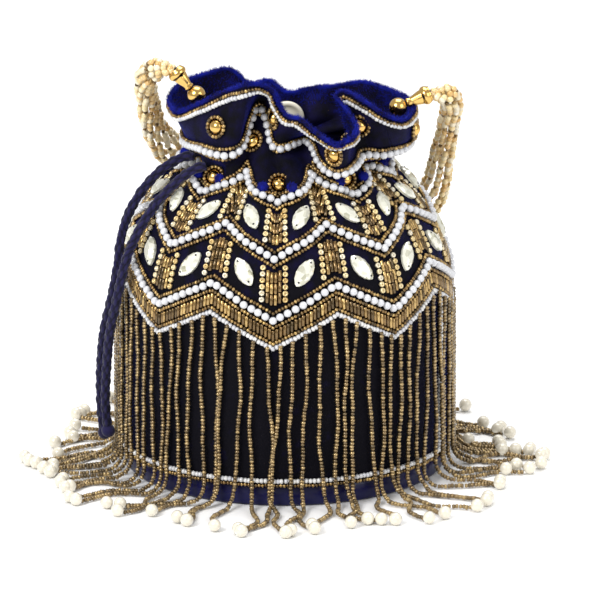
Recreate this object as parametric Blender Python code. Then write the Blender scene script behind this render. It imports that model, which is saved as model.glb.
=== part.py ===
"""Potli bag: a round velvet drawstring pouch with bead embroidery, a beaded fringe and a strand handle.

Run with: blender --background --python part.py
Metres, +Z up, front of the bag towards -Y. The origin is the centre of the base's underside, on the floor.
Places on the cloth are given as turn (0 at the front, growing towards +X, one whole turn round the bag)
and climb (metres of cloth above the floor, measured up the wall, over the shoulder and into the frill).
"""
import math

import bmesh
import bpy
import numpy as np
from mathutils import Matrix, Vector

MM = 0.001
GAP = 0.3 * MM                      # clearance kept between neighbouring solids

# ---- driving dimensions of the pouch ----
BODY_R = 85 * MM
BASE_R = 83 * MM
BASE_H = 11 * MM
BASE_WALL = 2.6 * MM
BASE_FLOOR = 3 * MM
BOARD_R = 79 * MM
BOARD_T = 2 * MM
WALL_T = 2.4 * MM                   # velvet, padding and facing together on the body
FRILL_T = 1.1 * MM                  # velvet alone in the gathers and the frill
# wall and shoulder profile, bottom to neck: radius, height in mm
PROFILE = ((84.6, 11.3), (85, 40), (85.2, 72), (85, 95), (84.1, 106), (81.6, 117), (77.7, 126.5),
           (72.8, 136), (66, 145.5), (57, 154), (50.5, 159.5), (47, 165))
FRILL_TO_PEARLS = 21 * MM
FRILL_TO_RIM = 51 * MM
FRONT_TURN = -4 / 360               # the embroidery is centred a little left of the front
REPEATS = 8
FOLDS = 2 * REPEATS
FOLD_DEPTH = 3.4 * MM
FOLD_START = 128 * MM
SEAM_GAP_TURN = 0.1 / 360

# ---- embroidery: climb of the valleys, and the rise to the peaks ----
ZIGZAG_RISE = 17 * MM
ROW_A, ROW_B, ROW_C = 162 * MM, 132 * MM, 101 * MM
PEARL_ROW_HALF = 4.4 * MM
BUGLE_BAND = (-13.4 * MM, -5.2 * MM)
WHITE_ROW = (-16.4 * MM, -13.8 * MM)
STONE_SIZE = (16.5 * MM, 7.3 * MM, 3 * MM)
STONE_LEAN = math.radians(56)
BORDER_TURNS = (-79 / 360, 70 / 360)
BORDER_W = 4.4 * MM
BORDER_CLIMB = 12 * MM

# ---- fringe ----
FRINGE_R = (87.9 * MM, 90 * MM)
FRINGE_T = 2.1 * MM
FRINGE_CURL = 9 * MM
FRINGE_LENGTH = 133 * MM
FRINGE_PEARL = 7 * MM

# ---- frill: matching points on its pearl row and its rim, from the left side over the front, in mm ----
FRILL_RIBS = (
    ((-51, 2, 173), (-59.5, 2, 190.5)), ((-50, -10, 174.5), (-54.5, -15, 190.5)),
    ((-42, -30, 176.7), (-42, -30, 200)), ((-32, -41, 176.8), (-30, -36, 208)),
    ((-24.2, -38, 179), (-21, -43, 213)), ((-20.5, -28, 187), (-16, -44, 214.5)),
    ((-16.5, -21.5, 195), (-11, -42, 213)), ((-11, -21, 195), (-6.6, -39, 209)),
    ((-7, -28.5, 186), (-4, -37, 202)), ((-4.5, -35.5, 179), (1, -41, 196)),
    ((0.5, -34, 179), (7.5, -46, 196)), ((4.5, -28.5, 180), (14, -53, 192.5)),
    ((10, -25, 181), (20.5, -58, 189.3)), ((15, -31, 179.5), (26, -61, 187)),
    ((19.5, -43, 173), (31, -59, 188)), ((25.5, -52, 170.5), (35.5, -53, 189)),
    ((31.5, -50, 171), (37, -44, 191)), ((36, -40, 171.5), (32, -33, 197)),
    ((39, -32, 173.5), (27, -27, 203)), ((44, -28, 173.5), (31, -26, 205)),
    ((50, -26, 173.2), (41, -33, 201.5)), ((56, -20.5, 173.5), (51, -35, 195.2)),
    ((61.5, -12, 173), (60, -29, 190.5)), ((64, -2, 172.8), (65.5, -15, 190)),
    ((63, 9, 172.3), (66.5, 0, 191.5)), ((58, 22, 171.5), (61, 18, 190)),
    ((49, 36, 171), (52, 34, 189.5)), ((38, 40, 172), (40, 45, 189.5)),
    ((27, 46, 172), (26, 45, 187.5)), ((15, 43, 172), (14, 52, 184)),
    ((4, 47, 172), (2, 44, 184.5)), ((-8, 43, 172), (-8, 52, 188)),
    ((-18, 47, 173), (-18, 44, 189)), ((-29, 39, 173), (-29, 46, 196)),
    ((-40, 37, 173), (-42, 36, 196.5)), ((-47, 25, 173), (-53, 25, 195)),
    ((-51, 13, 173), (-58.5, 13, 193)),
)
FRILL_FIRST_TURN = -0.25

# ---- handle: end balls, cap mouths and the middle line of the strand bundle, in mm ----
BALL_R = 4.75 * MM
BALLS = {"left": (-45.6, -14.4, 200.9), "right": (58.4, -9.5, 193)}
MOUTHS = {"left": (-57, -12, 213.6), "right": (75, -6, 199.3)}
CAP_NARROW_R = 2.3 * MM
CAP_MOUTH_R = 4.3 * MM
CAP_BORE_R = 3.4 * MM
KNOT_R = 1.6 * MM
STRANDS = 8
STRAND_D = 3 * MM
STRAND_RING = 4.4 * MM
STRAND_FAN = 9 * MM
STRAND_TWISTS = 1.25
HANDLE_ROUTE = (
    (-65.4, -12.4, 214.5), (-69.8, -7.5, 211.5), (-71.8, 1, 204.5), (-71.8, 12, 194.5), (-70.5, 22, 184.5),
    (-68.5, 34, 171), (-64, 49, 157.5), (-58, 64, 147.5), (-51, 78, 139), (-39, 88, 124), (-18, 95, 108),
    (8, 97, 101), (33, 91, 102), (54, 80.5, 107), (70, 68, 116), (78, 58, 128), (80, 50, 141),
    (82, 40, 154), (84, 29, 168), (85.3, 18, 180.5), (86.4, 6, 190.5), (83.4, -5.6, 198.4),
)
TAB_D = 1.4 * MM

# ---- drawstring: two ends of one cord, leaving the neck on the left, in mm ----
CORD_D = 5 * MM
CORD_OUTER = (
    (-46.5, -21, 169.5), (-51, -20, 169.5), (-57.5, -19.5, 166.5), (-65.5, -19.5, 160.5), (-73.5, -20.5, 151.5),
    (-79.5, -23, 142), (-83, -26, 133.5), (-85, -28.5, 125), (-86.5, -30.5, 112.5), (-89.5, -28, 96),
    (-93.6, -21.5, 76), (-95.4, -15.5, 55), (-95.6, -12, 38), (-95, -10, 26), (-93.6, -9, 17),
)
CORD_INNER = (
    (-40.5, -31.8, 168), (-45.5, -32.6, 166.8), (-52.5, -32.4, 162.3), (-60, -32, 155), (-67.5, -32, 146),
    (-74, -35.5, 136.5), (-79.5, -38.5, 126), (-83.2, -39.5, 114), (-86.8, -37, 97), (-90.4, -30.5, 78),
    (-92.2, -24, 57.5), (-93, -20, 40), (-92.6, -18, 29), (-91.6, -17.2, 20.5),
)

# ---- press stud on the inside of the frill ----
STUD_R = 9 * MM
STUD_T = 2.2 * MM
STUD_PLACES = {"back": (1, 40, 173, 4), "front": (-2, -27, 169, -14)}

COLORS = {
    "velvet": ((0.012, 0.008, 0.10), 0.9, 0.0), "satin": ((0.02, 0.02, 0.25), 0.35, 0.0),
    "board": ((0.35, 0.27, 0.18), 0.8, 0.0), "pearl": ((0.8, 0.8, 0.82), 0.25, 0.0),
    "gold_bead": ((0.45, 0.30, 0.10), 0.35, 0.8), "white_bead": ((0.85, 0.85, 0.83), 0.3, 0.0),
    "stone": ((0.85, 0.84, 0.70), 0.1, 0.3), "gold_metal": ((0.8, 0.52, 0.15), 0.2, 1.0),
    "handle_bead": ((0.78, 0.66, 0.42), 0.3, 0.0), "cord": ((0.03, 0.025, 0.09), 0.7, 0.0),
    "stud": ((0.82, 0.80, 0.70), 0.4, 0.0), "thread": ((0.05, 0.04, 0.08), 0.8, 0.0),
}


# ---------------------------------------------------------------- curves and the cloth surface

def smooth_line(points, per_span=12, closed=False):
    """Catmull-Rom curve through the points, as rows of coordinates."""
    points = np.asarray(points, float)
    if closed:
        ring = np.vstack([points[-1:], points, points[:2]])
    else:
        ring = np.vstack([2 * points[0] - points[1], points, 2 * points[-1] - points[-2]])
    step = np.linspace(0, 1, per_span, endpoint=False)[None, :, None]
    before, start, end, after = (ring[i:len(ring) - 3 + i, None] for i in range(4))
    curve = 0.5 * (2 * start + (end - before) * step
                   + (2 * before - 5 * start + 4 * end - after) * step ** 2
                   + (3 * start - before - 3 * end + after) * step ** 3)
    return np.vstack([curve.reshape(-1, points.shape[1]), ring[-2:-1]])


def run_length(line):
    """Distance along a line at each of its points."""
    return np.concatenate([[0], np.cumsum(np.linalg.norm(np.diff(line, axis=0), axis=1))])


def even_points(line, spacing):
    """The line cut into equal steps of about the given length."""
    along = run_length(line)
    at = np.linspace(0, along[-1], max(2, round(along[-1] / spacing) + 1))
    return np.stack([np.interp(at, along, line[:, i]) for i in range(3)], axis=1)


WALL_LINE = smooth_line(np.array(PROFILE) * MM)
WALL_CLIMB = WALL_LINE[0, 1] + run_length(WALL_LINE)
NECK_CLIMB = WALL_CLIMB[-1]
PEARL_CLIMB = NECK_CLIMB + FRILL_TO_PEARLS
RIM_CLIMB = NECK_CLIMB + FRILL_TO_RIM


def frill_lines():
    """Turn, pearl-row point and rim point along the frill, over a little more than one turn."""
    ribs = np.array(FRILL_RIBS) * MM
    both = smooth_line(ribs.reshape(len(ribs), 6), closed=True)
    run = (run_length(both[:, :3]) + run_length(both[:, 3:])) / 2
    turn = FRILL_FIRST_TURN + run / run[-1]
    once = slice(0, -1)
    turns = np.concatenate([turn[once] - 1, turn[once], turn + 1])
    return turns, np.vstack([both[once], both[once], both])


FRILL_TURNS, FRILL_POINTS = frill_lines()


def smooth_step(value):
    """0 below 0, 1 above 1, and an even S between."""
    value = np.clip(value, 0, 1)
    return value * value * (3 - 2 * value)


def wall(turn, climb):
    """The pouch up to its neck: the turned profile with gathers that deepen towards the neck."""
    angle = 2 * math.pi * turn
    radius = np.interp(climb, WALL_CLIMB, WALL_LINE[:, 0])
    height = np.interp(climb, WALL_CLIMB, WALL_LINE[:, 1])
    depth = FOLD_DEPTH * smooth_step((climb - FOLD_START) / (NECK_CLIMB - FOLD_START))
    uneven = 1 + 0.3 * np.sin(3 * angle + 1.1)
    folds = -np.cos(FOLDS * (angle - 2 * math.pi * FRONT_TURN) + 0.5 * np.sin(2 * angle))
    radius = radius + depth * uneven * folds
    return np.stack([radius * np.sin(angle), -radius * np.cos(angle), height], axis=-1)


def frill(turn, climb):
    """The frill above the neck: a smooth run from the neck through the pearl row to the rim."""
    below = wall(turn, np.full_like(climb, NECK_CLIMB - 8 * MM))
    neck = wall(turn, np.full_like(climb, NECK_CLIMB))
    pearls, rim = (np.stack([np.interp(turn, FRILL_TURNS, FRILL_POINTS[:, first + i]) for i in range(3)], axis=-1)
                   for first in (0, 3))
    lower = (climb < PEARL_CLIMB)[..., None]
    start, end = np.where(lower, neck, pearls), np.where(lower, pearls, rim)
    span = np.where(lower, FRILL_TO_PEARLS, FRILL_TO_RIM - FRILL_TO_PEARLS)
    slope_neck = (pearls - below) / (FRILL_TO_PEARLS + 8 * MM)
    slope_pearls = (rim - neck) / FRILL_TO_RIM
    slope_rim = (rim - pearls) / (FRILL_TO_RIM - FRILL_TO_PEARLS)
    leave = np.where(lower, slope_neck, slope_pearls) * span
    arrive = np.where(lower, slope_pearls, slope_rim) * span
    first = np.where(climb < PEARL_CLIMB, NECK_CLIMB, PEARL_CLIMB)[..., None]
    t = (climb[..., None] - first) / span
    return (start * (2 * t ** 3 - 3 * t ** 2 + 1) + leave * (t ** 3 - 2 * t ** 2 + t)
            + end * (3 * t ** 2 - 2 * t ** 3) + arrive * (t ** 3 - t ** 2))


def cloth(turn, climb):
    """Point of the velvet's outer face."""
    turn, climb = np.broadcast_arrays(np.asarray(turn, float), np.asarray(climb, float))
    turn = (turn + 0.5) % 1 - 0.5
    return np.where((climb <= NECK_CLIMB)[..., None], wall(turn, climb), frill(turn, climb))


def cloth_normal(turn, climb):
    """Outward normal of the velvet's outer face."""
    small_turn, small_climb = 0.0015, 0.8 * MM
    along = cloth(turn + small_turn, climb) - cloth(turn - small_turn, climb)
    up = cloth(turn, np.minimum(climb + small_climb, RIM_CLIMB)) - cloth(turn, climb - small_climb)
    normal = np.cross(along, up)
    return normal / np.linalg.norm(normal, axis=-1, keepdims=True)


def off_cloth(turn, climb, distance):
    """Point at a distance outwards from the velvet's outer face."""
    turn, climb = np.broadcast_arrays(np.asarray(turn, float), np.asarray(climb, float))
    return cloth(turn, climb) + cloth_normal(turn, climb) * np.asarray(distance, float)[..., None]


def zigzag(turn):
    """Rise of the zigzag at a turn: 0 in the valleys, ZIGZAG_RISE at the peaks."""
    phase = ((turn - FRONT_TURN) * REPEATS) % 1
    return ZIGZAG_RISE * (1 - np.abs(1 - 2 * phase))


# ---------------------------------------------------------------- objects

def material(slot):
    """The Principled material of a slot, made once."""
    found = bpy.data.materials.get(slot)
    if found:
        return found
    color, roughness, metallic = COLORS[slot]
    made = bpy.data.materials.new(slot)
    made.use_nodes = True
    shader = made.node_tree.nodes["Principled BSDF"]
    shader.inputs["Base Color"].default_value = (*color, 1)
    shader.inputs["Roughness"].default_value = roughness
    shader.inputs["Metallic"].default_value = metallic
    return made


def add_object(name, data, slot):
    """Link a new object with its material."""
    data.materials.append(material(slot))
    made = bpy.data.objects.new(name, data)
    bpy.context.collection.objects.link(made)
    return made


def add_bmesh(name, mesh, slot, smooth=True):
    """Turn a bmesh into an object, its faces pointing out."""
    bmesh.ops.recalc_face_normals(mesh, faces=mesh.faces)
    data = bpy.data.meshes.new(name)
    mesh.to_mesh(data)
    mesh.free()
    if smooth:
        data.shade_smooth()
        data.set_sharp_from_angle(angle=math.radians(35))
    return add_object(name, data, slot)


def shell(name, outer, inner, slot, closed_round=False):
    """Solid between two grids of points: rows run up, columns run round to the right."""
    rows, cols = outer.shape[:2]
    mesh = bmesh.new()
    skins = [[[mesh.verts.new(point) for point in row] for row in grid] for grid in (outer, inner)]
    spans = cols if closed_round else cols - 1
    for row in range(rows - 1):
        for col in range(spans):
            right = (col + 1) % cols
            for skin in skins:
                mesh.faces.new((skin[row][col], skin[row][right], skin[row + 1][right], skin[row + 1][col]))
    out, back = skins
    for row in (0, rows - 1):
        for col in range(spans):
            right = (col + 1) % cols
            mesh.faces.new((out[row][col], out[row][right], back[row][right], back[row][col]))
    if not closed_round:
        for col in (0, cols - 1):
            for row in range(rows - 1):
                mesh.faces.new((out[row][col], out[row + 1][col], back[row + 1][col], back[row][col]))
    return add_bmesh(name, mesh, slot)


def turned(name, outline, slot, sides, smooth=True):
    """Closed outline of (radius, height) points turned about the Z axis; points on the axis close it."""
    mesh = bmesh.new()
    verts = [mesh.verts.new((radius, 0, height)) for radius, height in outline]
    on_axis = outline[0][0] == 0
    ends = verts[:-1] if on_axis else verts
    for first, second in zip(ends, verts[1:] + verts[:1]):
        mesh.edges.new((first, second))
    bmesh.ops.spin(mesh, geom=mesh.verts[:] + mesh.edges[:], axis=(0, 0, 1), cent=(0, 0, 0),
                   angle=2 * math.pi, steps=sides, use_duplicate=False)
    bmesh.ops.remove_doubles(mesh, verts=mesh.verts, dist=0.00001)
    return add_bmesh(name, mesh, slot, smooth)


def tube(name, points, diameter, slot, owner=None):
    """Round cord through the points, with closed ends."""
    curve = bpy.data.curves.new(name, "CURVE")
    curve.dimensions = "3D"
    curve.bevel_depth = diameter / 2
    curve.bevel_resolution = 2
    curve.use_fill_caps = True
    spline = curve.splines.new("POLY")
    spline.points.add(len(points) - 1)
    for knot, point in zip(spline.points, points):
        knot.co = (*point, 1)
    made = add_object(name, curve, slot)
    made.parent = owner
    if owner:
        made.matrix_parent_inverse = owner.matrix_world.inverted()
    return made


def aim(made, place, direction, spin_toward=None):
    """Put an object at a place with its local Z along a direction, and X towards another if given."""
    up = Vector(direction).normalized()
    turn = up.to_track_quat("Z", "Y").to_matrix()
    if spin_toward is not None:
        side = Vector(spin_toward)
        side = (side - up * side.dot(up)).normalized()
        turn = Matrix((side, up.cross(side), up)).transposed()
    made.matrix_world = Matrix.Translation(place) @ turn.to_4x4()


# ---------------------------------------------------------------- pouch

def make_base():
    """Satin-covered dish that carries the pouch, and the stiff board in it."""
    edge = 1.5 * MM
    outline = ((0, 0), (BASE_R - edge, 0), (BASE_R, edge), (BASE_R, BASE_H),
               (BASE_R - BASE_WALL, BASE_H), (BASE_R - BASE_WALL, BASE_FLOOR), (0, BASE_FLOOR))
    turned("satin_base", outline, "satin", 40)
    low = BASE_FLOOR + GAP
    turned("base_board", ((0, low), (BOARD_R, low), (BOARD_R, low + BOARD_T), (0, low + BOARD_T)), "board", 32)


def make_panels():
    """Front and back velvet panels, each from the base to the rim of the frill."""
    climbs = np.concatenate([
        [WALL_CLIMB[0], 60 * MM, 96 * MM], np.linspace(109 * MM, NECK_CLIMB, 8),
        np.linspace(NECK_CLIMB, RIM_CLIMB, 6)[1:]])
    thick = np.where(climbs < 100 * MM, WALL_T, np.interp(climbs, (100 * MM, 150 * MM), (WALL_T, FRILL_T)))
    for name, start in (("velvet_front", FRONT_TURN - 0.25), ("velvet_back", FRONT_TURN + 0.25)):
        turns = np.linspace(start + SEAM_GAP_TURN, start + 0.5 - SEAM_GAP_TURN, 41)
        outer = cloth(turns[None, :], climbs[:, None])
        inner = off_cloth(turns[None, :], climbs[:, None], -thick[:, None])
        shell(name, outer, inner, "velvet")


# ---------------------------------------------------------------- embroidery

def ring_band(name, climb_low, climb_high, gap, height, slot, stations):
    """Band sewn round the cloth between two climbs, which may change with the turn."""
    turns = FRONT_TURN + np.arange(stations) / stations
    climbs = np.stack([climb_low(turns), climb_high(turns)])
    outer, inner = (off_cloth(turns[None, :], climbs, away) for away in (gap + height, gap))
    shell(name, outer, inner, slot, closed_round=True)


def make_rows():
    """Zigzag rows on the body, and the two trims of the frill."""
    for name, valley, half, gap, height, stations in (
            ("pearl_row_a", ROW_A, 0.6 * PEARL_ROW_HALF, 1.5 * MM, 1.2 * MM, 80),
            ("pearl_row_b", ROW_B, PEARL_ROW_HALF, 1.2 * MM, 2.4 * MM, 48),
            ("pearl_row_c", ROW_C, PEARL_ROW_HALF, 0.5 * MM, 3 * MM, 48)):
        ring_band(name, lambda turn, at=valley, by=half: at + zigzag(turn) - by,
                  lambda turn, at=valley, by=half: at + zigzag(turn) + by, gap, height, "pearl", stations)
    for name, (low, high), height, slot in (("bugle_band", BUGLE_BAND, 1.8 * MM, "gold_bead"),
                                            ("white_row", WHITE_ROW, 2.2 * MM, "white_bead")):
        ring_band(name, lambda turn, at=low: ROW_C + zigzag(turn) + at,
                  lambda turn, at=high: ROW_C + zigzag(turn) + at, 0.5 * MM, height, slot, 48)
    flat = np.zeros_like
    ring_band("frill_edge_trim", lambda turn: flat(turn) + RIM_CLIMB - 6.4 * MM,
              lambda turn: flat(turn) + RIM_CLIMB - 1.2 * MM, 0.7 * MM, 1.4 * MM, "white_bead", 80)
    ring_band("frill_pearl_trim", lambda turn: flat(turn) + PEARL_CLIMB - 2.4 * MM,
              lambda turn: flat(turn) + PEARL_CLIMB + 2.4 * MM, 2.3 * MM, 1 * MM, "pearl", 80)


def make_border(name, shift):
    """Seed-bead border round a panel's plain lower part: down one side, along the base and up the other."""
    left, right = (turn + shift for turn in BORDER_TURNS)
    inset = BORDER_W / (2 * math.pi * BODY_R)
    lines = []
    for push in (0, 1):
        low = BORDER_CLIMB + push * BORDER_W
        base_turns = np.linspace(left + push * inset, right - push * inset, 28)
        top = [ROW_C + zigzag(turn) + WHITE_ROW[0] - 1.5 * MM for turn in (base_turns[0], base_turns[-1])]
        turns = np.concatenate([[base_turns[0]], base_turns, [base_turns[-1]]])
        climbs = np.concatenate([[top[0]], np.full(28, low), [top[1]]])
        lines.append((turns, climbs))
    turns, climbs = (np.stack([line[i] for line in lines]) for i in range(2))
    outer, inner = (off_cloth(turns, climbs, away) for away in (2 * MM, 0.5 * MM))
    shell(name, outer, inner, "white_bead")


def make_stones():
    """Leaf-shaped sewn stones between rows B and C, one in each half repeat."""
    length, width, height = STONE_SIZE
    bend = np.linspace(0, 2 * math.pi, 8, endpoint=False)
    leaf = np.stack([np.cos(bend) * length / 2, np.sin(bend) * width / 2], axis=1)
    mesh = bmesh.new()
    rings = [[mesh.verts.new((x * scale, y * scale, level)) for x, y in leaf]
             for scale, level in ((1, 0), (1, 0.35 * height), (0.52, height))]
    for low, high in zip(rings, rings[1:]):
        for i in range(8):
            mesh.faces.new((low[i], low[(i + 1) % 8], high[(i + 1) % 8], high[i]))
    mesh.faces.new(rings[0][::-1])
    mesh.faces.new(rings[-1])
    first = add_bmesh("stone_01", mesh, "stone", smooth=False)
    for i in range(2 * REPEATS):
        stone = first
        if i:
            stone = bpy.data.objects.new(f"stone_{i + 1:02d}", first.data)
            bpy.context.collection.objects.link(stone)
        turn = FRONT_TURN + (i + 0.5) / (2 * REPEATS)
        climb = (ROW_B + ROW_C + ZIGZAG_RISE) / 2
        normal = cloth_normal(turn, climb)
        lean = STONE_LEAN if i % 2 == 0 else math.pi - STONE_LEAN
        right = np.array([math.cos(2 * math.pi * turn), math.sin(2 * math.pi * turn), 0])
        along = right * math.cos(lean) + np.cross(normal, right) * -math.sin(lean) * -1
        aim(stone, off_cloth(turn, climb, 0.5 * MM), normal, along)


# ---------------------------------------------------------------- fringe

def fringe_path(top, length):
    """Radius and height down a hanging strand that turns out onto the floor, and its thickness."""
    drop = top - FRINGE_CURL
    arc = FRINGE_CURL * math.pi / 2
    stations = np.array([0, drop * 0.5, drop, drop + arc / 3, drop + 2 * arc / 3, drop + arc,
                         0.55 * length + 0.45 * (drop + arc), length - 7 * MM, length])
    bend = np.clip((stations - drop) / FRINGE_CURL, 0, math.pi / 2)
    radius = FRINGE_CURL * (1 - np.cos(bend)) + np.maximum(stations - drop - arc, 0)
    height = np.where(stations < drop, top - stations, FRINGE_CURL * (1 - np.sin(bend)))
    return radius, height, bend


def make_fringe():
    """Eight curtains of bead strings, each from one peak of the zigzag to the next."""
    for i in range(REPEATS):
        start = FRONT_TURN + (i - 0.5) / REPEATS
        turns = np.linspace(start + 0.25 / 360, start + 1 / REPEATS - 0.25 / 360, 7)
        outer, inner = [], []
        for turn in turns:
            top = float(ROW_C + zigzag(turn) + WHITE_ROW[0] - 0.5 * MM)
            radius, height, bend = fringe_path(top, FRINGE_LENGTH)
            thick = np.full(len(radius), FRINGE_T)
            thick[-2:] = FRINGE_PEARL
            out = np.array([math.sin(2 * math.pi * turn), -math.cos(2 * math.pi * turn), 0])
            under = np.stack([FRINGE_R[0] + radius, height], axis=1)
            over = under + thick[:, None] * np.stack([np.cos(bend), np.sin(bend)], axis=1)
            inner.append(under[:, :1] * out + under[:, 1:] * np.array([0, 0, 1]))
            outer.append(over[:, :1] * out + over[:, 1:] * np.array([0, 0, 1]))
        outer, inner = (np.stack(side, axis=1)[::-1] for side in (outer, inner))
        shell(f"fringe_{i + 1}", outer, inner, "gold_bead")


# ---------------------------------------------------------------- handle

def make_handle():
    """Balls and caps at both ends, and the strand bundle that swings between the caps' mouths."""
    mouth_left, mouth_right = (np.array(MOUTHS[side]) * MM for side in ("left", "right"))
    pivot = bpy.data.objects.new("handle_pivot", None)
    bpy.context.collection.objects.link(pivot)
    pivot.location = mouth_left
    bpy.context.view_layer.update()
    for side, mouth in (("left", mouth_left), ("right", mouth_right)):
        ball = np.array(BALLS[side]) * MM
        make_ball(f"gold_ball_{side}", ball, BALL_R, "gold_metal", 14, 9)
        make_cap(f"cone_cap_{side}", ball, mouth)
        make_ball(f"gather_knot_{side}", mouth, KNOT_R, "thread", 8, 6)
        make_tab(side, ball)
    make_strands(pivot)


def make_ball(name, centre, radius, slot, around, rows):
    """Round ball standing at a point."""
    mesh = bmesh.new()
    bmesh.ops.create_uvsphere(mesh, u_segments=around, v_segments=rows, radius=radius)
    made = add_bmesh(name, mesh, slot)
    made.location = centre
    return made


def make_cap(name, ball, mouth):
    """Fluted cone cap: narrow end at the ball, open mouth where the strands gather."""
    axis = mouth - ball
    length = float(np.linalg.norm(axis)) - BALL_R - GAP
    depth = 4.5 * MM
    neck = CAP_NARROW_R
    outline = ((0, -length), (neck, -length), (neck * 0.86, -length * 0.86), (CAP_MOUTH_R * 0.86, -length * 0.36),
               (CAP_MOUTH_R * 1.06, -length * 0.2), (CAP_MOUTH_R, 0), (CAP_BORE_R, 0), (CAP_BORE_R, -depth),
               (0, -depth))
    cap = turned(name, outline, "gold_metal", 10, smooth=False)
    aim(cap, mouth, axis)


def make_tab(side, ball):
    """Stitched thread that ties a ball to the inside of the frill."""
    turns = np.linspace(-0.5, 0.5, 400)
    climb = RIM_CLIMB - 5 * MM
    faces = off_cloth(turns, climb, -FRILL_T - GAP)
    nearest = faces[np.argmin(np.linalg.norm(faces - ball, axis=1))]
    way = nearest - ball
    reach = float(np.linalg.norm(way))
    start = ball + way / reach * (BALL_R + GAP)
    end = ball + way / reach * (reach - TAB_D / 2)
    tube(f"handle_tie_{side}", np.linspace(start, end, 3), TAB_D, "thread")


def make_strands(pivot):
    """Eight bead strands on a twisting oval ring round the handle's middle line."""
    line = even_points(smooth_line(np.array(HANDLE_ROUTE) * MM), 15 * MM)
    along = np.gradient(line, axis=0)
    along /= np.linalg.norm(along, axis=1, keepdims=True)
    away = line * (1, 1, 0)
    away -= along * np.sum(away * along, axis=1, keepdims=True)
    away /= np.linalg.norm(away, axis=1, keepdims=True)
    across = np.cross(along, away)
    share = np.linspace(0, 1, len(line))
    fan = STRAND_RING + (STRAND_FAN - STRAND_RING) * np.sin(math.pi * share) ** 0.8
    for i in range(STRANDS):
        angle = 2 * math.pi * (i / STRANDS + STRAND_TWISTS * share)
        offset = away * (STRAND_RING * np.cos(angle))[:, None] + across * (fan * np.sin(angle))[:, None]
        tube(f"handle_strand_{i + 1}", line + offset, STRAND_D, "handle_bead", pivot)


# ---------------------------------------------------------------- drawstring and stud

def make_drawstring():
    """The two free ends of the drawstring, from the neck down the left side."""
    for name, route in (("drawstring_outer", CORD_OUTER), ("drawstring_inner", CORD_INNER)):
        tube(name, even_points(smooth_line(np.array(route) * MM), 8 * MM), CORD_D, "cord")


def make_studs():
    """Two halves of the press stud, facing each other inside the frill."""
    for name, (x, y, z, tilt) in STUD_PLACES.items():
        flat = ((0, 0), (STUD_R, 0), (STUD_R, 0.6 * STUD_T), (0.85 * STUD_R, STUD_T), (0, STUD_T))
        stud = turned(f"press_stud_{name}", flat, "stud", 20)
        face = Vector((0, -1, 0)) if y > 0 else Vector((0, 1, 0))
        face.rotate(Matrix.Rotation(math.radians(tilt), 3, "X"))
        aim(stud, Vector((x, y, z)) * MM, face)


def main():
    """Clear the scene and make every piece."""
    for old in list(bpy.data.objects):
        bpy.data.objects.remove(old)
    make_base()
    make_panels()
    make_rows()
    make_border("front_border", 0)
    make_border("back_border", 0.5)
    make_stones()
    make_fringe()
    make_handle()
    make_drawstring()
    make_studs()


main()
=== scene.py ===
"""Looks of the potli bag: a velvet drawstring pouch with bead embroidery, a beaded fringe and a strand handle.

Add-on for the 3D view's sidebar. Metres, +Z up, front of the bag towards -Y, origin under the base's middle.
Places on the cloth are given as turn (0 at the front, growing towards +X, one whole turn round the bag)
and climb (metres of cloth above the floor, measured up the wall, over the shoulder and into the frill).
"""
import math

import bpy
import numpy as np
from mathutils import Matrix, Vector


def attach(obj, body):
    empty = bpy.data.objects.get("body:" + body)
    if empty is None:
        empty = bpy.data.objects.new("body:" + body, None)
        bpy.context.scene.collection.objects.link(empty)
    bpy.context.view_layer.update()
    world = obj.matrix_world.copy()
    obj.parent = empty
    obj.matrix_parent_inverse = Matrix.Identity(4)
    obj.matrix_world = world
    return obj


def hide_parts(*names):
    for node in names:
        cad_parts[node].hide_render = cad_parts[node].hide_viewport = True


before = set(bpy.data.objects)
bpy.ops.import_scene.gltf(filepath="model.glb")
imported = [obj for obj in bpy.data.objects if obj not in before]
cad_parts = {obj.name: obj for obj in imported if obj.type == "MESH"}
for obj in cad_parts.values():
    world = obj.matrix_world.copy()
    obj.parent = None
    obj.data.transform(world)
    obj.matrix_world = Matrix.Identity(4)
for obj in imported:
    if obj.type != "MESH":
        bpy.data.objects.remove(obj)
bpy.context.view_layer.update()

bl_info = {
    "name": "Potli Bag Looks",
    "version": (1, 0, 0),
    "blender": (4, 5, 0),
    "location": "View3D > Sidebar > Potli",
    "description": "Makes the fine surfaces, beads, cords and materials of the potli bag",
    "category": "Object",
}

MM = 0.001

# ---- driving dimensions of the pouch ----
BODY_R = 85 * MM
BASE_R = 83 * MM
BASE_H = 11 * MM
BASE_WALL = 2.6 * MM
BASE_FLOOR = 3 * MM
WALL_T = 2.4 * MM                   # velvet, padding and facing together on the body
FRILL_T = 1.1 * MM                  # velvet alone in the gathers and the frill
# wall and shoulder profile, bottom to neck: radius, height in mm
PROFILE = ((84.6, 11.3), (85, 40), (85.2, 72), (85, 95), (84.1, 106), (81.6, 117), (77.7, 126.5),
           (72.8, 136), (66, 145.5), (57, 154), (50.5, 159.5), (47, 165))
FRILL_TO_PEARLS = 21 * MM
FRILL_TO_RIM = 51 * MM
FRONT_TURN = -4 / 360               # the embroidery is centred a little left of the front
REPEATS = 8
FOLDS = 2 * REPEATS
FOLD_DEPTH = 3.4 * MM
FOLD_START = 128 * MM
SEAM_GAP_TURN = 0.1 / 360

# ---- embroidery: climb of the valleys, and the rise to the peaks ----
ZIGZAG_RISE = 17 * MM
ROW_A, ROW_B, ROW_C = 162 * MM, 132 * MM, 101 * MM
WHITE_ROW = (-16.4 * MM, -13.8 * MM)
STONE_SIZE = (16.5 * MM, 7.3 * MM, 3 * MM)
STONE_LEAN = math.radians(56)
BORDER_TURNS = (-79 / 360, 70 / 360)
BORDER_CLIMB = 12 * MM

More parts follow.
